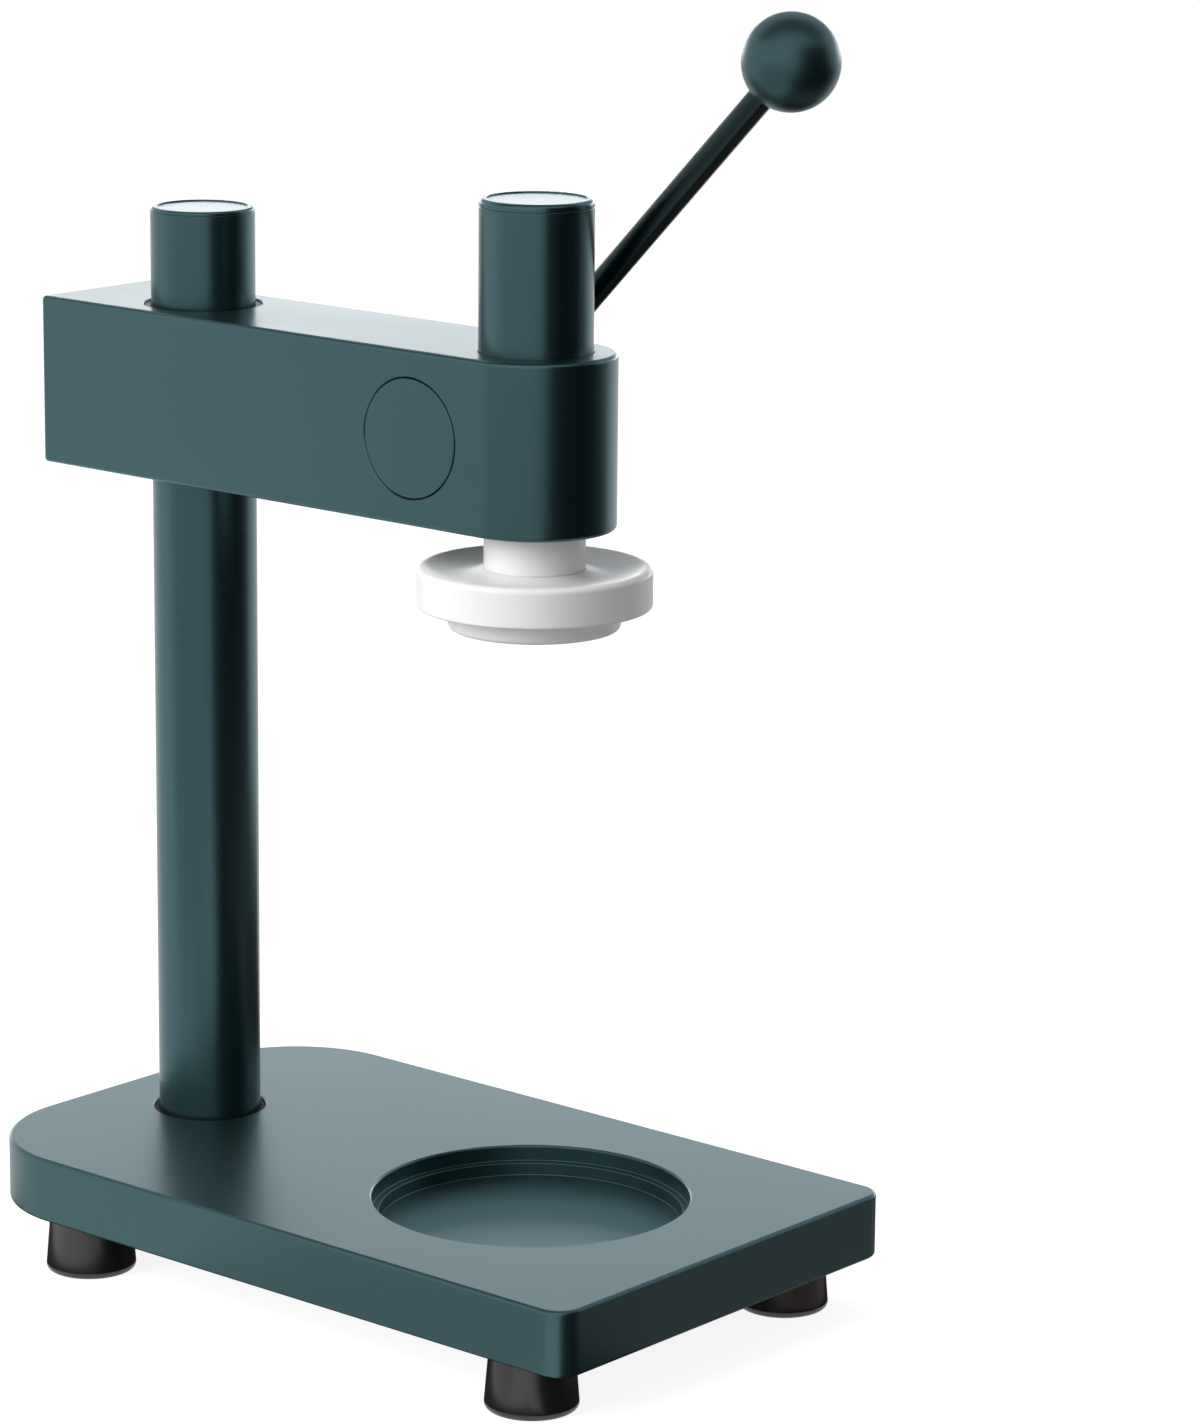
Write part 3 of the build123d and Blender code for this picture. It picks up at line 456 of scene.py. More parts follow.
def box_cutter(name, low, high):
    """A plain block between two corners: four points in plan at each of two heights."""
    x, y = (low[0], high[0]), (low[1], high[1])
    plan = np.array([(x[0], y[0]), (x[1], y[0]), (x[1], y[1]), (x[0], y[1])], float)
    points = np.vstack([np.c_[plan, np.full(4, low[2])], np.c_[plan, np.full(4, high[2])]])
    return plain_object(name, points, BLOCK_FACES)


print("a block has", len(BLOCK_FACES), "faces")

# %% [markdown]
# ## Base plate
# The base is one thick plate with a stepped round seat, a socket for the column and a fine groove round it.
# The plate could be modelled flat and its holes extruded down. Here the slab is made first, and turned
# cutters with slightly flared mouths take out each hole, so the rims catch light as broken edges do.

# %% Base plate
base_top, base_low, base_edge = 9.0, -11.0, 1.2
base_front, base_rear, base_side = 77.5, -172.5, 75.0
front_round, rear_round = 8.0, 40.0
front_x, front_y = base_front - front_round, base_side - front_round
rear_x, rear_y = base_rear + rear_round, base_side - rear_round
base = slab("base", [
    arc_points((front_x, -front_y), front_round, -90, 0, 14),
    arc_points((front_x, front_y), front_round, 0, 90, 14),
    arc_points((rear_x, rear_y), rear_round, 90, 180, 48),
    arc_points((rear_x, -rear_y), rear_round, 180, 270, 48),
], base_low, base_top, base_edge)
beyond, broken = 5.0, 0.3  # how far cutters run past a face, and the size of a broken edge
seat_rim, seat_floor, seat_step, seat_flare = 48.0, 45.8, 4.0, 0.55
seat_cutter = turned("seat_cutter", softened([
    (0, 0), (seat_floor, 0, 0.35), (seat_floor, seat_step, broken), (seat_rim, seat_step, broken),
    (seat_rim, base_top - 0.5, 0.5), (seat_rim + seat_flare, base_top + 0.05),
    (seat_rim + seat_flare, base_top + beyond), (0, base_top + beyond),
]), steps=256)
column_x, column_foot = -135.5, 3.0
socket, groove, groove_floor = 16.05, 17.65, 7.0
bolt_way, bolt_pocket, bolt_pocket_top = 4.05, 12.0, -3.1
socket_cutter = turned("socket_cutter", softened([
    (0, base_low - beyond), (bolt_pocket + broken, base_low - beyond), (bolt_pocket + broken, base_low),
    (bolt_pocket, base_low + broken), (bolt_pocket, bolt_pocket_top), (bolt_way, bolt_pocket_top),
    (bolt_way, column_foot), (socket, column_foot), (socket, groove_floor), (groove, groove_floor),
    (groove, base_top - broken, broken), (groove + broken, base_top), (groove + broken, base_top + beyond),
    (0, base_top + beyond),
]), (column_x, 0, 0))
foot_places = {"front_left": (51.5, 58.0), "front_right": (51.5, -58.0),
               "rear_left": (-130.2, 58.0), "rear_right": (-130.2, -58.0)}
foot_tap, foot_tap_low, foot_tap_top = 2.55, base_low - 2, 2.0
tap_cutters = [
    drill("tap_cutter", foot_tap, foot_tap_low, foot_tap_top, (x, y, 0), steps=32)
    for x, y in foot_places.values()
]
cut(base, [seat_cutter, socket_cutter] + tap_cutters)
finished(base, "stand", "painted_alloy", "base_plate")

# %% [markdown]
# ## Feet
# Four rubber feet carry the plate. They are cones that widen to the floor, each with a pocket in which its
# screw is sunk. A cone primitive would have sharp ends, so each foot is one closed profile, with a soft lower
# edge as moulded rubber has.

# %% Feet
foot_low, foot_wide, foot_narrow = -29.0, 14.0, 12.55
screw_pocket, screw_pocket_top = 6.5, -20.5


def foot(place, x, y):
    """One rubber foot below the base, named after its place."""
    profile = softened([
        (foot_tap, screw_pocket_top), (screw_pocket, screw_pocket_top, 0.4), (screw_pocket, foot_low, 0.3),
        (foot_wide, foot_low, 1.6), (foot_narrow, base_low - 0.9, 0.5), (foot_narrow - 0.35, base_low),
        (foot_tap, base_low), (foot_tap, screw_pocket_top),
    ])
    piece = turned("rubber_" + place, profile, (x, y, 0), steps=96)
    return finished(piece, "stand", "foot_rubber", "foot_" + place)


feet = [foot(place, x, y) for place, (x, y) in foot_places.items()]

# %% [markdown]
# ## Column
# The column is a smooth painted bar. A flat runs down its rear, where the clamp screws of the arm press on
# it. It could be drawn as a D and extruded, but the lathe surface gives it rounded ends, and one block then
# takes the flat off. The cap is a separate lid with a thin bright rim and a shallow dish, and the joint below
# it shows as a dark line.

# %% Column and its cap
column_radius, column_inner, plug_top = 16.0, 11.0, 48.0
cap_seam, cap_top = 294.4, 295.6
column = turned("column", softened([
    (bolt_way, column_foot), (column_radius, column_foot, 0.3), (column_radius, cap_seam, 0.25),
    (column_inner, cap_seam, 0.25), (column_inner, plug_top), (bolt_way, plug_top), (bolt_way, column_foot),
]), (column_x, 0, 0))
flat_x, flat_low, past_column = -150.7, 23.0, column_radius + beyond
cut(column, [box_cutter(
    "flat_cutter", (column_x - past_column, -past_column, flat_low), (flat_x, past_column, cap_seam + beyond),
)])
finished(column, "stand", "painted_steel", "post", sharp=16)
lid_rim, lid_dish = 2.2, 0.35


def lid(name, body, node, x, radius, seam, top, edge, spigot, spigot_low):
    """A turned lid: broadly rounded edge, shallow dish, and a spigot below the seam."""
    profile = softened([
        (0, spigot_low), (spigot, spigot_low, 0.2), (spigot, seam), (radius, seam, 0.15), (radius, top, edge),
        (radius - lid_rim, top, 0.12), (radius - lid_rim, top - lid_dish, 0.12), (0, top - lid_dish),
    ], spans=8)
    return finished(turned(name, profile, (x, 0, 0)), body, "painted_steel", node)


column_cap = lid("column_lid", "stand", "post_cap", column_x, radius=column_radius, seam=cap_seam,
                 top=cap_top, edge=0.9, spigot=10.95, spigot_low=287.4)

# %% [markdown]
# ## Dark ring at the column's foot
# A thin dark ring closes the groove between column and base. Its near black is partly painted shade: it
# stands where the gap round the column falls into shadow. A torus would bulge. The real ring is flat with
# small roundings, so it is a square profile carried round, and the arm's bushes use the same one.

# %% Ring
def ring_profile(inner, outer, low, high, edge):
    """Closed profile of a plain ring with rounded outer corners."""
    return softened([
        (inner, low), (outer, low, edge), (outer, high, edge), (inner, high, edge), (inner, low),
    ])


# This ring's black stands partly for the shade in the gap round the column.
ring_section = ring_profile(socket, groove - 0.05, groove_floor, base_top - 0.5, 0.2)
foot_ring = turned("foot_ring", ring_section, (column_x, 0, 0))
finished(foot_ring, "stand", "black_plastic", "post_seat_ring")

# %% [markdown]
# ## Arm
# The arm is a long block with a half-round nose. It slides on the column in two dark bushes, holds the ram's
# tube in a bore at its nose, and has a deep round pocket in its near side for the pinion. It could be a box
# joined to a cylinder, which leaves a seam. One outline of three arcs has none, and each bore is cut out.

# %% Arm block and the cutters of its bores
arm_low, arm_high, arm_rear, arm_side, arm_edge = 213.7, 265.7, -182.1, 24.0, 1.3
arm = slab("arm", [
    arc_points((0, 0), arm_side, -90, 90, 97),
    arc_points((arm_rear + arm_edge, arm_side - arm_edge), arm_edge, 90, 180, 7),
    arc_points((arm_rear + arm_edge, -arm_side + arm_edge), arm_edge, 180, 270, 7),
], arm_low, arm_high, arm_edge)
bush_seat, bush_deep, column_way = 18.25, 14.0, 16.8
column_bore = turned("column_bore", softened([
    (0, arm_low - beyond), (bush_seat + broken, arm_low - beyond), (bush_seat + broken, arm_low),
    (bush_seat, arm_low + broken, broken), (bush_seat, arm_low + bush_deep),
    (column_way, arm_low + bush_deep), (column_way, arm_high - bush_deep), (bush_seat, arm_high - bush_deep),
    (bush_seat, arm_high - broken, broken), (bush_seat + broken, arm_high),
    (bush_seat + broken, arm_high + beyond), (0, arm_high + beyond),
]), (column_x, 0, 0))
tube_foot, tube_radius, guide_seat = 260.7, 16.8, 18.05
tube_seat, tube_break = tube_radius + 0.05, 0.25
nose_bore = turned("nose_bore", softened([
    (0, arm_low - beyond), (guide_seat + broken, arm_low - beyond), (guide_seat + broken, arm_low),
    (guide_seat, arm_low + broken, broken), (guide_seat, tube_foot), (tube_seat, tube_foot),
    (tube_seat, arm_high - tube_break, tube_break), (tube_seat + tube_break, arm_high),
    (tube_seat + tube_break, arm_high + beyond), (0, arm_high + beyond),
]))

# %% Pinion pocket and screw holes, then the cut
shaft_x, shaft_z = -28.0, 239.7
cover_seat, cover_deep, cover_break = 17.9, 3.0, 0.35
pocket, pocket_end, shaft_bush_seat, shaft_break = 17.75, 8.4, 9.05, 0.2
pinion_pocket = turned("pinion_pocket", softened([
    (0, -arm_side - beyond), (cover_seat + cover_break, -arm_side - beyond),
    (cover_seat + cover_break, -arm_side), (cover_seat, -arm_side + cover_break, broken),
    (cover_seat, -arm_side + cover_deep), (pocket, -arm_side + cover_deep), (pocket, pocket_end),
    (shaft_bush_seat, pocket_end), (shaft_bush_seat, arm_side - shaft_break),
    (shaft_bush_seat + shaft_break, arm_side), (shaft_bush_seat + shaft_break, arm_side + beyond),
    (0, arm_side + beyond),
]), (shaft_x, 0, shaft_z), ALONG_Y)
stop_circle, stop_radius, stop_deep = 16.8, 2.0, 15.0
pin_hole = drill("pin_hole", stop_radius + 0.05, stop_deep, arm_side + beyond,
                 (shaft_x, 0, shaft_z - stop_circle), ALONG_Y)
clamp_way, clamp_end, clamp_heights = 4.05, -140.0, (232.2, 247.2)
clamp_holes = [
    turned("clamp_hole", [
        (0, arm_rear - beyond), (clamp_way + broken, arm_rear - beyond), (clamp_way + broken, arm_rear),
        (clamp_way, arm_rear + broken), (clamp_way, clamp_end), (0, clamp_end),
    ], (0, 0, z), ALONG_X, 64)
    for z in clamp_heights
]
cut(arm, [column_bore, nose_bore, pinion_pocket, pin_hole] + clamp_holes)
finished(arm, "head", "painted_alloy", "arm_body")

# %% [markdown]
# ## Bushes and the flush cover
# Two dark plastic bushes guide the arm on the column, and a third guides the ram where it leaves the nose.
# They are set half a millimetre into the arm, so that each shows as a thin dark ring. The round cover lies
# flush in the arm's near side, and only the fine line round it is seen. That line could be a dark stripe of
# paint, but as a real gap it stays right from every side.

# %% Bushes of the arm, and the flush cover
set_in, bush_edge = 0.5, 0.35
bush_bore, bush_outside = 16.06, 18.2
guide_bore, guide_outside, guide_top = 15.06, 18.0, 223.8


def bush(name, node, x, inner, outer, low, high):
    """A plain bush of the arm, round the upright axis at x."""
    piece = turned(name, ring_profile(inner, outer, low, high, bush_edge), (x, 0, 0))
    return finished(piece, "head", "black_plastic", node)


upper_bush = bush("upper_bush", "post_bush_upper", column_x, bush_bore, bush_outside,
                  arm_high - bush_deep, arm_high - set_in)
lower_bush = bush("lower_bush", "post_bush_lower", column_x, bush_bore, bush_outside,
                  arm_low + set_in, arm_low + bush_deep)
ram_guide = bush("ram_guide", "ram_bush_lower", 0, guide_bore, guide_outside, arm_low + set_in, guide_top)
cover_radius = 17.7
cover = turned("cover", softened([
    (0, -arm_side), (cover_radius, -arm_side, 0.45), (cover_radius, -arm_side + cover_deep, 0.1),
    (0, -arm_side + cover_deep),
]), (shaft_x, 0, shaft_z), ALONG_Y, 192)
finished(cover, "head", "painted_alloy", "pinion_cover")

# %% [markdown]
# ## Tube on the nose
# The tube covers the ram's upper end. It stands in the nose and has a lid like the column's, with a broader
# rounded edge. It could be a solid bar, as nobody sees into it, but the ram stands inside it at rest, so it
# is a real tube.

# %% Tube with its lid
tube_inner, tube_top, tube_lid_top = 15.35, 308.1, 310.4
tube = turned("tube", softened([
    (tube_inner, tube_foot), (tube_radius, tube_foot, 0.2), (tube_radius, tube_top, 0.25),
    (tube_inner, tube_top), (tube_inner, tube_foot),
]))
finished(tube, "head", "painted_steel", "ram_tube")
tube_lid = lid("tube_lid", "head", "ram_tube_cap", 0.0, radius=tube_radius, seam=tube_top,
               top=tube_lid_top, edge=1.4, spigot=15.3, spigot_low=305.1)

# %% [markdown]
# ## White ram
# The ram is a white bar that slides in the nose. A slot in its back holds the rack, a bore from above holds
# the return spring, and cross holes take the spring's pin and the rack's screws. They could be left out, as
# the nose hides them at rest, but the slot comes into sight as the lever swings, so all are cut.

# %% Ram
ram_radius, ram_low, ram_high = 15.0, 201.9, 303.6
ram_spigot, ram_spigot_low = 9.0, 196.9
ram_bar = turned("ram_bar", softened([
    (0, ram_spigot_low), (ram_spigot, ram_spigot_low, 0.3), (ram_spigot, ram_low), (ram_radius, ram_low, 0.3),
    (ram_radius, ram_high - 0.4, 0.8), (0, ram_high),
]))
rack_side, rack_bed, rack_low, rack_high = 5.05, -7.3, 218.47, 284.49
rack_slot = box_cutter(
    "rack_slot", (-2 * ram_radius, -rack_side, rack_low), (rack_bed, rack_side, rack_high),
)
spring_x, spring_radius, spring_floor, spring_way_end = 3.0, 6.0, 247.2, 310.0
spring_bore = drill("spring_bore", spring_radius, spring_floor, spring_way_end, (spring_x, 0, 0), steps=64)
small_tap, spring_pin_z = 1.55, 252.26
spring_pin_hole = drill("pin_way", small_tap, -ram_radius - beyond, ram_radius + beyond,
                        (spring_x, 0, spring_pin_z), ALONG_Y)
rack_tap_start, rack_tap_end, rack_tap_heights = -12.0, -3.75, (223.22, 279.74)
rack_taps = [
    drill("rack_tap", small_tap, rack_tap_start, rack_tap_end, (0, 0, z), ALONG_X, 32)
    for z in rack_tap_heights
]
disc_screw, disc_tap_low, disc_tap_top = 3.05, 190.0, 212.9
disc_tap = drill("disc_tap", disc_screw, disc_tap_low, disc_tap_top)
cut(ram_bar, [rack_slot, spring_bore, spring_pin_hole, disc_tap] + rack_taps)
finished(ram_bar, "ram_group", "white_plastic", "ram")

# %% [markdown]
# ## Press disc
# The disc on the ram's foot does the pressing with the boss below its flange. A wide shallow hollow runs
# round the top of the flange. Flange and boss could be two cylinders joined, but the whole section, with
# hollow, boss and counterbore, is one closed line that is carried once round the axis.

# %% Press disc
disc_radius, disc_top, rim_top, disc_low = 34.8, 201.9, 202.4, 190.4
boss_radius, boss_low = 25.5, 183.8
counterbore, counterbore_top = 9.0, boss_low + 6.2
ram_socket, ram_socket_low = 9.05, disc_top - 5.05
hollow_in, hollow_out, hollow_deep = 15.0, 32.4, 2.2
across = np.linspace(1, 0, 49)
unhollowed = disc_top + (rim_top - disc_top) * across
hollow = np.c_[hollow_in + (hollow_out - hollow_in) * across,
               unhollowed - hollow_deep * 4 * across * (1 - across)]
outer_side = softened([
    (disc_screw, counterbore_top), (counterbore, counterbore_top, 0.2), (counterbore, boss_low, 0.4),
    (boss_radius, boss_low, 1.6), (boss_radius, disc_low, 0.5), (disc_radius, disc_low, 0.9),
    (disc_radius, rim_top, 1.9), (hollow_out, rim_top),
], spans=8)
inner_side = [(ram_socket, disc_top), (ram_socket, ram_socket_low), (disc_screw, ram_socket_low),
              (disc_screw, counterbore_top)]
disc = turned("disc", np.vstack([outer_side[:-1], hollow, inner_side]), steps=256)
finished(disc, "ram_group", "white_plastic", "press_disc", sharp=40)

# %% [markdown]
# ## Lever
# The rod stands beside the shaft in a round hub on the far side of the arm, and a ball is screwed on its end.
# A sphere primitive has poles and no hole. This ball is a half circle carried round the rod's own axis, with
# its small flat and its hole in the same profile, so its mesh lines run as the rod does.

# %% Rod and ball
lever_angle = radians(45.2)
along = np.array([cos(lever_angle), 0, sin(lever_angle)])
aside = np.array([-sin(lever_angle), 0, cos(lever_angle)])
hub_near, hub_far, rod_offset = 24.4, 36.0, 10.8
rod_foot = np.array([shaft_x, (hub_near + hub_far) / 2, shaft_z]) + rod_offset * aside
ball_reach, ball_radius, ball_flat, hole_past_centre = 147.9, 14.25, 5.4, 4.0
ball_deep = ball_reach + hole_past_centre
rod_radius, rod_start, rod_end = 4.0, -12.0, ball_deep - 0.4
rod = turned("rod", softened([
    (0, rod_start), (rod_radius, rod_start, 0.5), (rod_radius, rod_end, 0.5), (0, rod_end),
]), rod_foot, along, 96)
finished(rod, "lever", "lever_paint", "lever_rod")
rod_way = rod_radius + 0.05
t = np.linspace(np.arcsin(ball_flat / ball_radius), np.pi, 81)
ball_side = np.c_[ball_radius * np.sin(t), ball_reach - ball_radius * np.cos(t)]
ball_side[-1, 0] = 0.0
ball_mouth = softened([
    (0, ball_deep), (rod_way, ball_deep), (rod_way, ball_side[0, 1], 0.4), tuple(ball_side[0]),
])
ball = turned("ball", np.vstack([ball_mouth[:-1], ball_side]), rod_foot, along)
finished(ball, "lever", "knob_plastic", "ball_knob")

# %% [markdown]
# ## Hub
# The hub joins the rod to the pinion's shaft. An arc-shaped slot in its inner face runs on the arm's stop
# pin, on which the lever rests at the top of its swing. Many turned copies of the pin could cut it. One
# piece of a ring, longer than the swing by the pin's own width, takes it out at once.

# %% Hub
hub_radius, shaft_way, hub_edge = 19.0, 5.05, 1.5
hub = turned("hub", softened([
    (shaft_way, hub_near), (hub_radius, hub_near, hub_edge), (hub_radius, hub_far, hub_edge),
    (shaft_way, hub_far, 0.3), (shaft_way, hub_near),
]), (shaft_x, 0, shaft_z), ALONG_Y)
past_hub = 30.0
rod_cutter = drill("rod_way", rod_way, -past_hub, past_hub, rod_foot, along, 96)
shaft_centre = rod_foot - rod_offset * aside
set_screw_way, set_screw_end = 2.05, 25.0
screw_cutter = drill("screw_way", set_screw_way, rod_offset, set_screw_end, shaft_centre, aside)
swing, slack_at_rest, slack_at_end = 95, 0.2, 1.5
slot_inner, slot_outer, slot_start, slot_deep = 14.2, 19.6, 23.0, 3.2
pin_half = degrees(np.arcsin(stop_radius / stop_circle))
slot_from, slot_to = -90 - pin_half - slack_at_rest, -90 + swing + pin_half + slack_at_end
t = np.radians(np.linspace(slot_from, slot_to, 64))
bow = np.c_[np.cos(t), np.sin(t)]
wedge = np.vstack([slot_inner * bow, (slot_outer * bow)[::-1]])
count = len(wedge)
slot_points = np.vstack([
    np.c_[shaft_x + wedge[:, 0], np.full(count, y), shaft_z + wedge[:, 1]]
    for y in (slot_start, hub_near + slot_deep)
])
slot_faces = grid_faces(2, count).tolist() + [list(range(count)), list(range(count, 2 * count))[::-1]]
stop_slot = plain_object("stop_slot", slot_points, slot_faces)
key_half_sizes, key_depth = np.array([1.55, 4.55, 1.55]), 5.0
key_place = shaft_centre - key_depth * aside
key_axes = np.stack([along, np.array([0, 1.0, 0]), aside])
corner_signs = np.array([(x, y, z) for z in (-1, 1) for x, y in square_plan(1)])
key_way = plain_object("key_way", key_place + (corner_signs * key_half_sizes) @ key_axes, BLOCK_FACES)
cut(hub, [rod_cutter, screw_cutter, stop_slot, key_way])
finished(hub, "lever", "lever_paint", "lever_hub")

# %% [markdown]
# ## Effects that several finishes share
# Real surfaces vary: paint has a faint ripple, turned faces carry fine rings, and edges are painted lighter,
# partly as rubbed wear and partly as a painted highlight along their roundings. Each material could carry its
# own copy of these nodes. As node groups they are made once, give out masks or heights, and each material
# places them with its own values.

# %% Group: fine ripple and slow variation
ripple, given, out = new_group(
    "ripple",
    [("Fine Scale", FLOAT, 900.0), ("Broad Scale", FLOAT, 18.0)],
    [("Height", FLOAT), ("Broad", FLOAT)],
)
place = put(ripple, "ShaderNodeTexCoord").outputs["Object"]
fine = put(ripple, "ShaderNodeTexNoise", {"Vector": place, "Scale": given["Fine Scale"], "Detail": 2.0})
broad = put(ripple, "ShaderNodeTexNoise", {"Vector": place, "Scale": given["Broad Scale"], "Detail": 3.0})
ripple.links.new(fine.outputs[0], out["Height"])
ripple.links.new(broad.outputs[0], out["Broad"])
print("group", ripple.name, "has", len(ripple.nodes), "nodes")

# %% Group: rubbed edges and painted edge highlight
# The mask lightens edges: partly rubbed wear, partly a painted highlight along the roundings.
edge_mask_gain, edge_mask_least = 3.0, 0.15
worn_and_highlit_edge, given, out = new_group(
    "worn_and_highlit_edge",
    [("Width", FLOAT, 0.0006), ("Break Up", FLOAT, 240.0)],
    [("Mask", FLOAT)],
)
place = put(worn_and_highlit_edge, "ShaderNodeTexCoord").outputs["Object"]
rounded = put(worn_and_highlit_edge, "ShaderNodeBevel", {"Radius": given["Width"]}, samples=6).outputs[0]
plain = put(worn_and_highlit_edge, "ShaderNodeNewGeometry").outputs["Normal"]
match = put(worn_and_highlit_edge, "ShaderNodeVectorMath", {0: rounded, 1: plain}, operation="DOT_PRODUCT")
turned_away = calculate(worn_and_highlit_edge, "SUBTRACT", 1.0, match.outputs["Value"])
bend = calculate(worn_and_highlit_edge, "MULTIPLY", turned_away, edge_mask_gain)
patches = put(worn_and_highlit_edge, "ShaderNodeTexNoise", {"Vector": place, "Scale": given["Break Up"], "Detail": 4.0})
patchy = calculate(worn_and_highlit_edge, "ADD", patches.outputs[0], edge_mask_least)
worn_and_highlit_edge.links.new(calculate(worn_and_highlit_edge, "MULTIPLY", bend, patchy, clamp=True), out["Mask"])
print("group", worn_and_highlit_edge.name, "has", len(worn_and_highlit_edge.nodes), "nodes")

# %% Group: rings left by turning
rise_share, slow_scale = 1.7, 260.0
turned_rings, given, out = new_group(
    "turned_rings",
    [("Place", VECTOR, None), ("Scale", FLOAT, 2200.0)],
    [("Height", FLOAT), ("Shade", FLOAT)],
)
parts = put(turned_rings, "ShaderNodeSeparateXYZ", {0: given["Place"]}).outputs
x_squared = calculate(turned_rings, "MULTIPLY", parts["X"], parts["X"])
y_squared = calculate(turned_rings, "MULTIPLY", parts["Y"], parts["Y"])
distance = calculate(turned_rings, "SQRT", calculate(turned_rings, "ADD", x_squared, y_squared))
rise = calculate(turned_rings, "MULTIPLY", parts["Z"], rise_share)
path = calculate(turned_rings, "ADD", distance, rise)
rings = put(turned_rings, "ShaderNodeTexNoise", {"W": path, "Scale": given["Scale"], "Detail": 3.0},
            noise_dimensions="1D")
slow = put(turned_rings, "ShaderNodeTexNoise", {"W": path, "Scale": slow_scale, "Detail": 2.0},
           noise_dimensions="1D")
turned_rings.links.new(rings.outputs[0], out["Height"])
turned_rings.links.new(slow.outputs[0], out["Shade"])
print("group", turned_rings.name, "has", len(turned_rings.nodes), "nodes")

# %% [markdown]
# ## Finishes
# A finish is a Principled shader with constants on its own sockets, and colour, roughness and normal that
# change over the surface. A paint can be a colour under a clear coat or a metal with its own colour. The
# teal is the second: its reflections are teal where it is seen squarely, and turn pale where it is seen at a
# low angle, as they do on the real plate, while a coat would have laid a white sheen over the dark sides.

# %% Finish helper
shade_swing = 0.03


def group_node(tree, group, **inputs):
    """Places a node group; its values are its named inputs."""
    node = put(tree, "ShaderNodeGroup", node_tree=group)
    for key, value in inputs.items():
        socket = node.inputs[key.replace("_", " ")]
        if isinstance(value, bpy.types.NodeSocket):
            tree.links.new(value, socket)
        else:
            socket.default_value = value
    return node.outputs


def blend_colours(tree, share, first, second):
    """The mix of two colours by a share."""
    return put(tree, "ShaderNodeMix", {0: share, 6: first, 7: second}, data_type="RGBA").outputs[2]


def stretch(tree, value, low, high):
    """Moves a value that runs from 0 to 1 into another range."""
    return put(tree, "ShaderNodeMapRange", {"Value": value, "To Min": low, "To Max": high}).outputs[0]


def finish(name, dark, light, roughness, metallic=0.0, ior=1.5, fine=900.0, bump=0.02, edge_wear_and_highlight=None,
           rings=None, ring_bump=0.0):
    """A material: two near colours mixed by slow variation, roughness in a range, a fine ripple, lighter
    edges (partly rubbed wear, partly a painted highlight) whose colour and share edge_wear_and_highlight
    gives, and rings round the axis whose point and turn rings gives."""
    material = bpy.data.materials.new(name)
    tree = bare_tree(material)
    surface = group_node(tree, ripple, Fine_Scale=fine)
    colour = blend_colours(tree, surface["Broad"], dark + (1.0,), light + (1.0,))
    rough = stretch(tree, surface["Broad"], roughness[0], roughness[1])
    height = surface["Height"]
    if rings:
        place = put(tree, "ShaderNodeTexCoord").outputs["Object"]
        centre, turn = rings
        turned_place = put(tree, "ShaderNodeMapping", {
            "Vector": place, "Location": centre, "Rotation": turn,
        }, vector_type="TEXTURE").outputs[0]
        lathe = group_node(tree, turned_rings, Place=turned_place)
        height = calculate(tree, "ADD", height, calculate(tree, "MULTIPLY", lathe["Height"], ring_bump))
        rough = calculate(tree, "ADD", rough, stretch(tree, lathe["Shade"], -shade_swing, shade_swing))
    # Edges lighter by the mask: partly rubbed wear, partly a painted highlight.
    if edge_wear_and_highlight:
        mask = group_node(tree, worn_and_highlit_edge)["Mask"]
        colour = blend_colours(tree, calculate(tree, "MULTIPLY", mask, edge_wear_and_highlight[1]), colour, edge_wear_and_highlight[0] + (1.0,))
    relief = put(tree, "ShaderNodeBump", {"Strength": 1.0, "Distance": bump * MM, "Height": height})
    shader = put(tree, "ShaderNodeBsdfPrincipled", {
        "Base Color": colour, "Roughness": rough, "Metallic": metallic, "IOR": ior,
        "Normal": relief.outputs[0],
    })
    put(tree, "ShaderNodeOutputMaterial", {"Surface": shader.outputs[0]})
    return material


def wear(material, *pieces):
    """Gives pieces their only material."""
    for piece in pieces:
        piece.data.materials.clear()
        piece.data.materials.append(material)
    print(material.name, "on", ", ".join(piece.name for piece in pieces))


ram_axis = ((0, 0, 0), (0, 0, 0))
column_axis = ((column_x * MM, 0, 0), (0, 0, 0))
shaft_axis = ((shaft_x * MM, 0, shaft_z * MM), (radians(90), 0, 0))

# %% [markdown]
# ## Teal paint
# Base, arm, column, tube and cover wear one teal paint. A single roughness would do from afar, but the level
# faces and the lids mirror the bright far wall, and a little more or less roughness there sets how pale they
# look. The turned pieces also get fine rings round their own axes.

# %% Teal paint
# The lighter edge colour of the teal is partly rubbed wear and partly a painted highlight.
teal = dict(dark=(0.056, 0.118, 0.129), light=(0.062, 0.127, 0.139), roughness=(0.28, 0.33), metallic=0.95,
            bump=0.006, edge_wear_and_highlight=((0.16, 0.22, 0.23), 0.35))
wear(finish("teal_paint", **teal), arm)
wear(finish("teal_base", **dict(teal, roughness=(0.34, 0.39))), base)
wear(finish("teal_lid", **dict(teal, roughness=(0.265, 0.3))), tube_lid, column_cap)
wear(finish("teal_turned_nose", rings=ram_axis, ring_bump=0.5, **teal), tube)
wear(finish("teal_turned_column", rings=column_axis, ring_bump=0.5, **teal), column)
wear(finish("teal_turned_cover", rings=shaft_axis, ring_bump=0.6, **teal), cover)

# %% [markdown]
# ## Lever and ball
# Rod and hub are a darker, nearly black teal, and the ball is a softer gloss than the paint. They could wear
# the same teal as the arm. A rougher ball spreads the bright cards over its whole face, as on the real one.

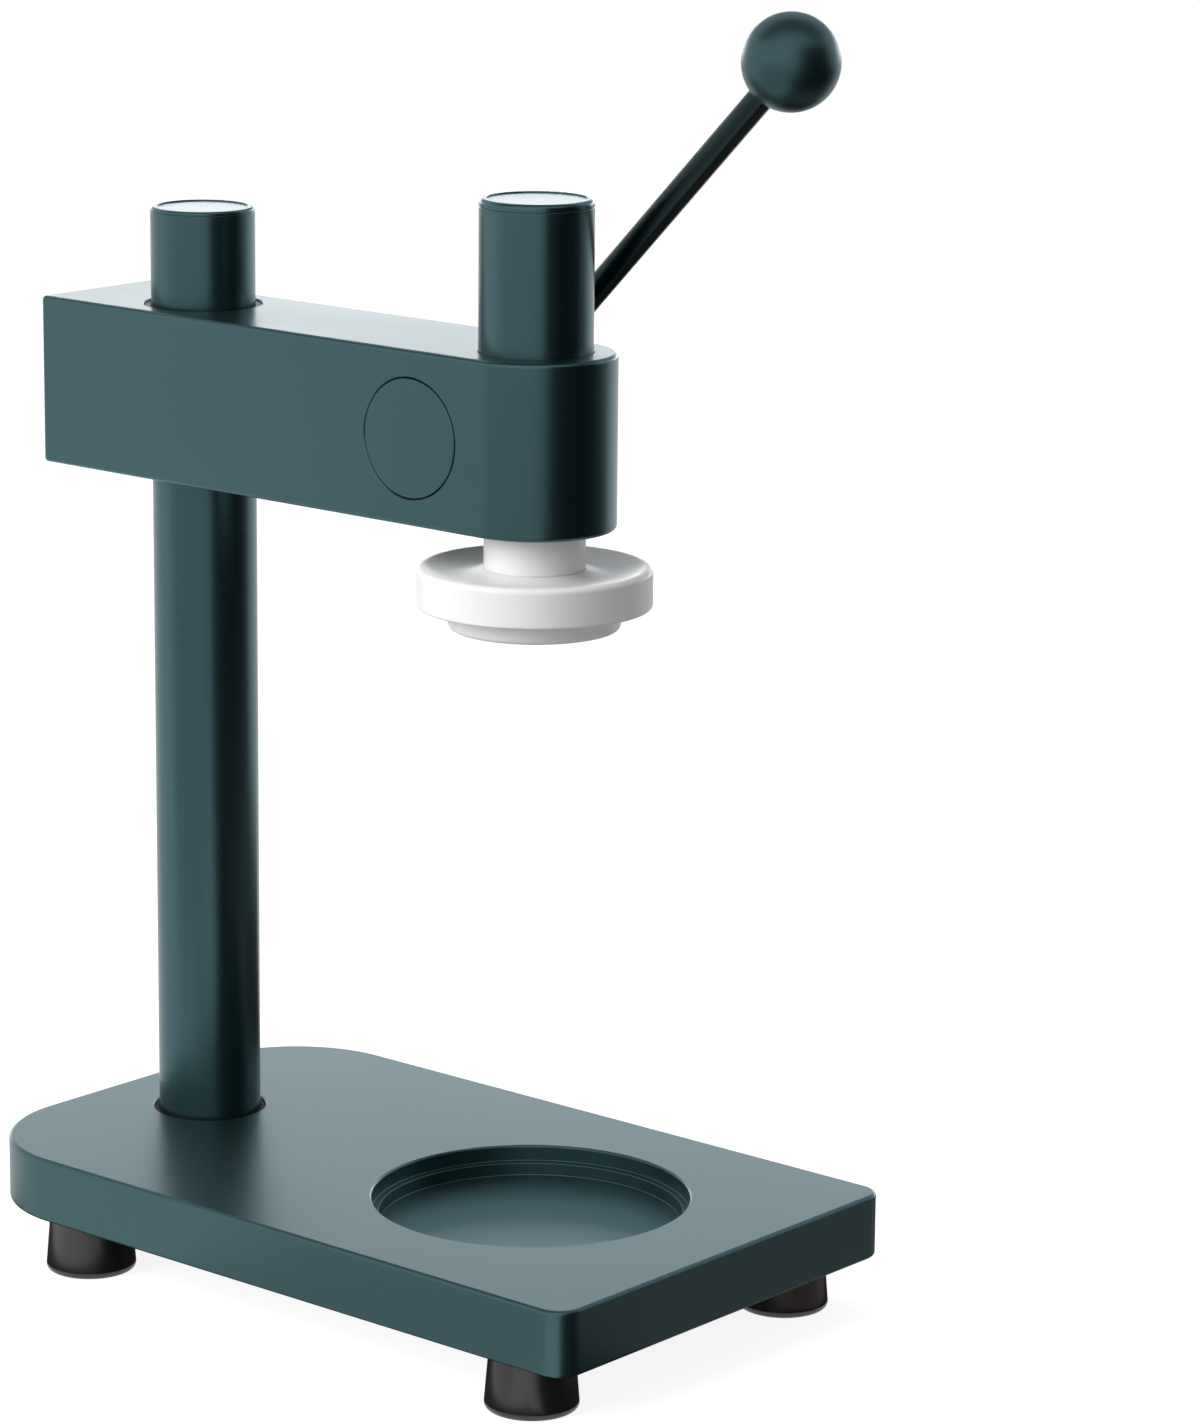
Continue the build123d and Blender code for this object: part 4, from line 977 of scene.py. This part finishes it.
# %% Darker lever and softer ball
# The lighter edges of rod and hub are partly rubbed wear and partly a painted highlight.
lever_paint = finish("lever_paint", (0.02, 0.034, 0.034), (0.024, 0.039, 0.039), roughness=(0.26, 0.33),
                     metallic=0.95, bump=0.006, edge_wear_and_highlight=((0.1, 0.13, 0.135), 0.3))
wear(lever_paint, rod, hub)
ball_gloss = finish("ball_gloss", (0.048, 0.1, 0.11), (0.052, 0.106, 0.117), roughness=(0.38, 0.42),
                    metallic=0.95, bump=0.003)
wear(ball_gloss, ball)

# %% [markdown]
# ## White plastic
# Ram and disc are turned from a white engineering plastic. Pure white would lose its shading, so the colour
# stays a little below it and slightly warm, and the lathe's rings run round the ram's axis.

# %% White plastic
white_turned = finish("white_turned", (0.76, 0.755, 0.745), (0.82, 0.815, 0.805), roughness=(0.34, 0.44),
                      ior=1.46, bump=0.008, rings=ram_axis, ring_bump=0.8)
wear(white_turned, ram_bar, disc)

# %% [markdown]
# ## Rubber and bearing plastic
# The feet are black rubber with a faint shine, the bushes a dark bearing plastic, and the ring at the
# column's foot a dull seal whose near black is partly painted shade of the gap round the column. One black
# could serve all. They differ here in roughness and in how much they mirror, because that is how the eye
# tells one black from another.

# %% Rubber and dark bearing plastic
rubber = finish("foot_rubber", (0.007, 0.0069, 0.0069), (0.011, 0.0108, 0.0108), roughness=(0.28, 0.36),
                ior=1.68, fine=1700.0, bump=0.03)
wear(rubber, *feet)
bearing = dict(dark=(0.01, 0.011, 0.012), light=(0.016, 0.017, 0.018), roughness=(0.4, 0.5), bump=0.01,
               ring_bump=0.6)
wear(finish("bearing_plastic", rings=column_axis, **bearing), upper_bush, lower_bush)
# The ring's near black is partly painted shade of the gap round the column's foot.
gap_shade_seal = finish("seal_rubber_gap_shade", (0.006, 0.006, 0.007), (0.01, 0.01, 0.011), roughness=(0.6, 0.7), ior=1.25,
              fine=1700.0, bump=0.02)
wear(gap_shade_seal, foot_ring)
ram_bearing = finish("ram_bearing_plastic", rings=ram_axis, **bearing)
wear(ram_bearing, ram_guide)

# %% [markdown]
# ## Metals of the small parts
# Screws, washers, spring, gear and bushes keep their CAD shape and get a metal each: zinc, black oxide,
# ground steel, bronze and brass. They could all be one grey metal, as most are hidden. The rack and some of
# the screws come into sight from behind or as the lever swings, so each has its own.

# %% Metals
zinc = finish("zinc_plate", (0.5, 0.5, 0.5), (0.62, 0.62, 0.6), roughness=(0.26, 0.36), metallic=1.0,
              bump=0.01)
# The grey edges of the black oxide are partly rubbed wear and partly a painted highlight.
black_oxide = finish("black_oxide", (0.02, 0.02, 0.022), (0.035, 0.035, 0.037), roughness=(0.36, 0.46),
                     metallic=0.7, bump=0.008, edge_wear_and_highlight=((0.2, 0.2, 0.2), 0.4))
gear = finish("ground_steel", (0.36, 0.36, 0.37), (0.46, 0.46, 0.47), roughness=(0.22, 0.34), metallic=1.0,
              bump=0.006, rings=shaft_axis, ring_bump=1.0)
bronze = finish("sintered_bronze", (0.42, 0.25, 0.1), (0.56, 0.36, 0.16), roughness=(0.34, 0.5), metallic=1.0,
                fine=2400.0, bump=0.02, rings=shaft_axis, ring_bump=0.5)
brass = finish("turned_brass", (0.6, 0.42, 0.15), (0.7, 0.5, 0.2), roughness=(0.24, 0.34), metallic=1.0,
               bump=0.006)
print("materials", len(bpy.data.materials))

# %% [markdown]
# ## Every CAD node that still shows
# The pieces that no surface above stands for are listed under the finish that each wears. A material could
# be picked by hand for each. A table is easier to read over.

# %% Finishes of the CAD nodes
node_finish = {
    zinc: ["foot_screws", "foot_washers", "post_washer", "hub_washer", "press_disc_washer",
           "press_disc_screw", "spring_hanger", "spring_pin", "return_spring", "post_bolt", "stop_pin"],
    black_oxide: ["clamp_screws", "rod_set_screw", "hub_screw", "shaft_circlip", "rack_screws"],
    gear: ["pinion", "pinion_shaft", "pinion_key", "hub_key", "rack"],
    bronze: ["shaft_bush_near", "shaft_bush_far"],
    ram_bearing: ["ram_bush_upper"],
    brass: ["clamp_pads"],
}
for material, names in node_finish.items():
    wear(material, *[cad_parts[name] for name in names])
print("CAD nodes with a finish", sum(len(names) for names in node_finish.values()))
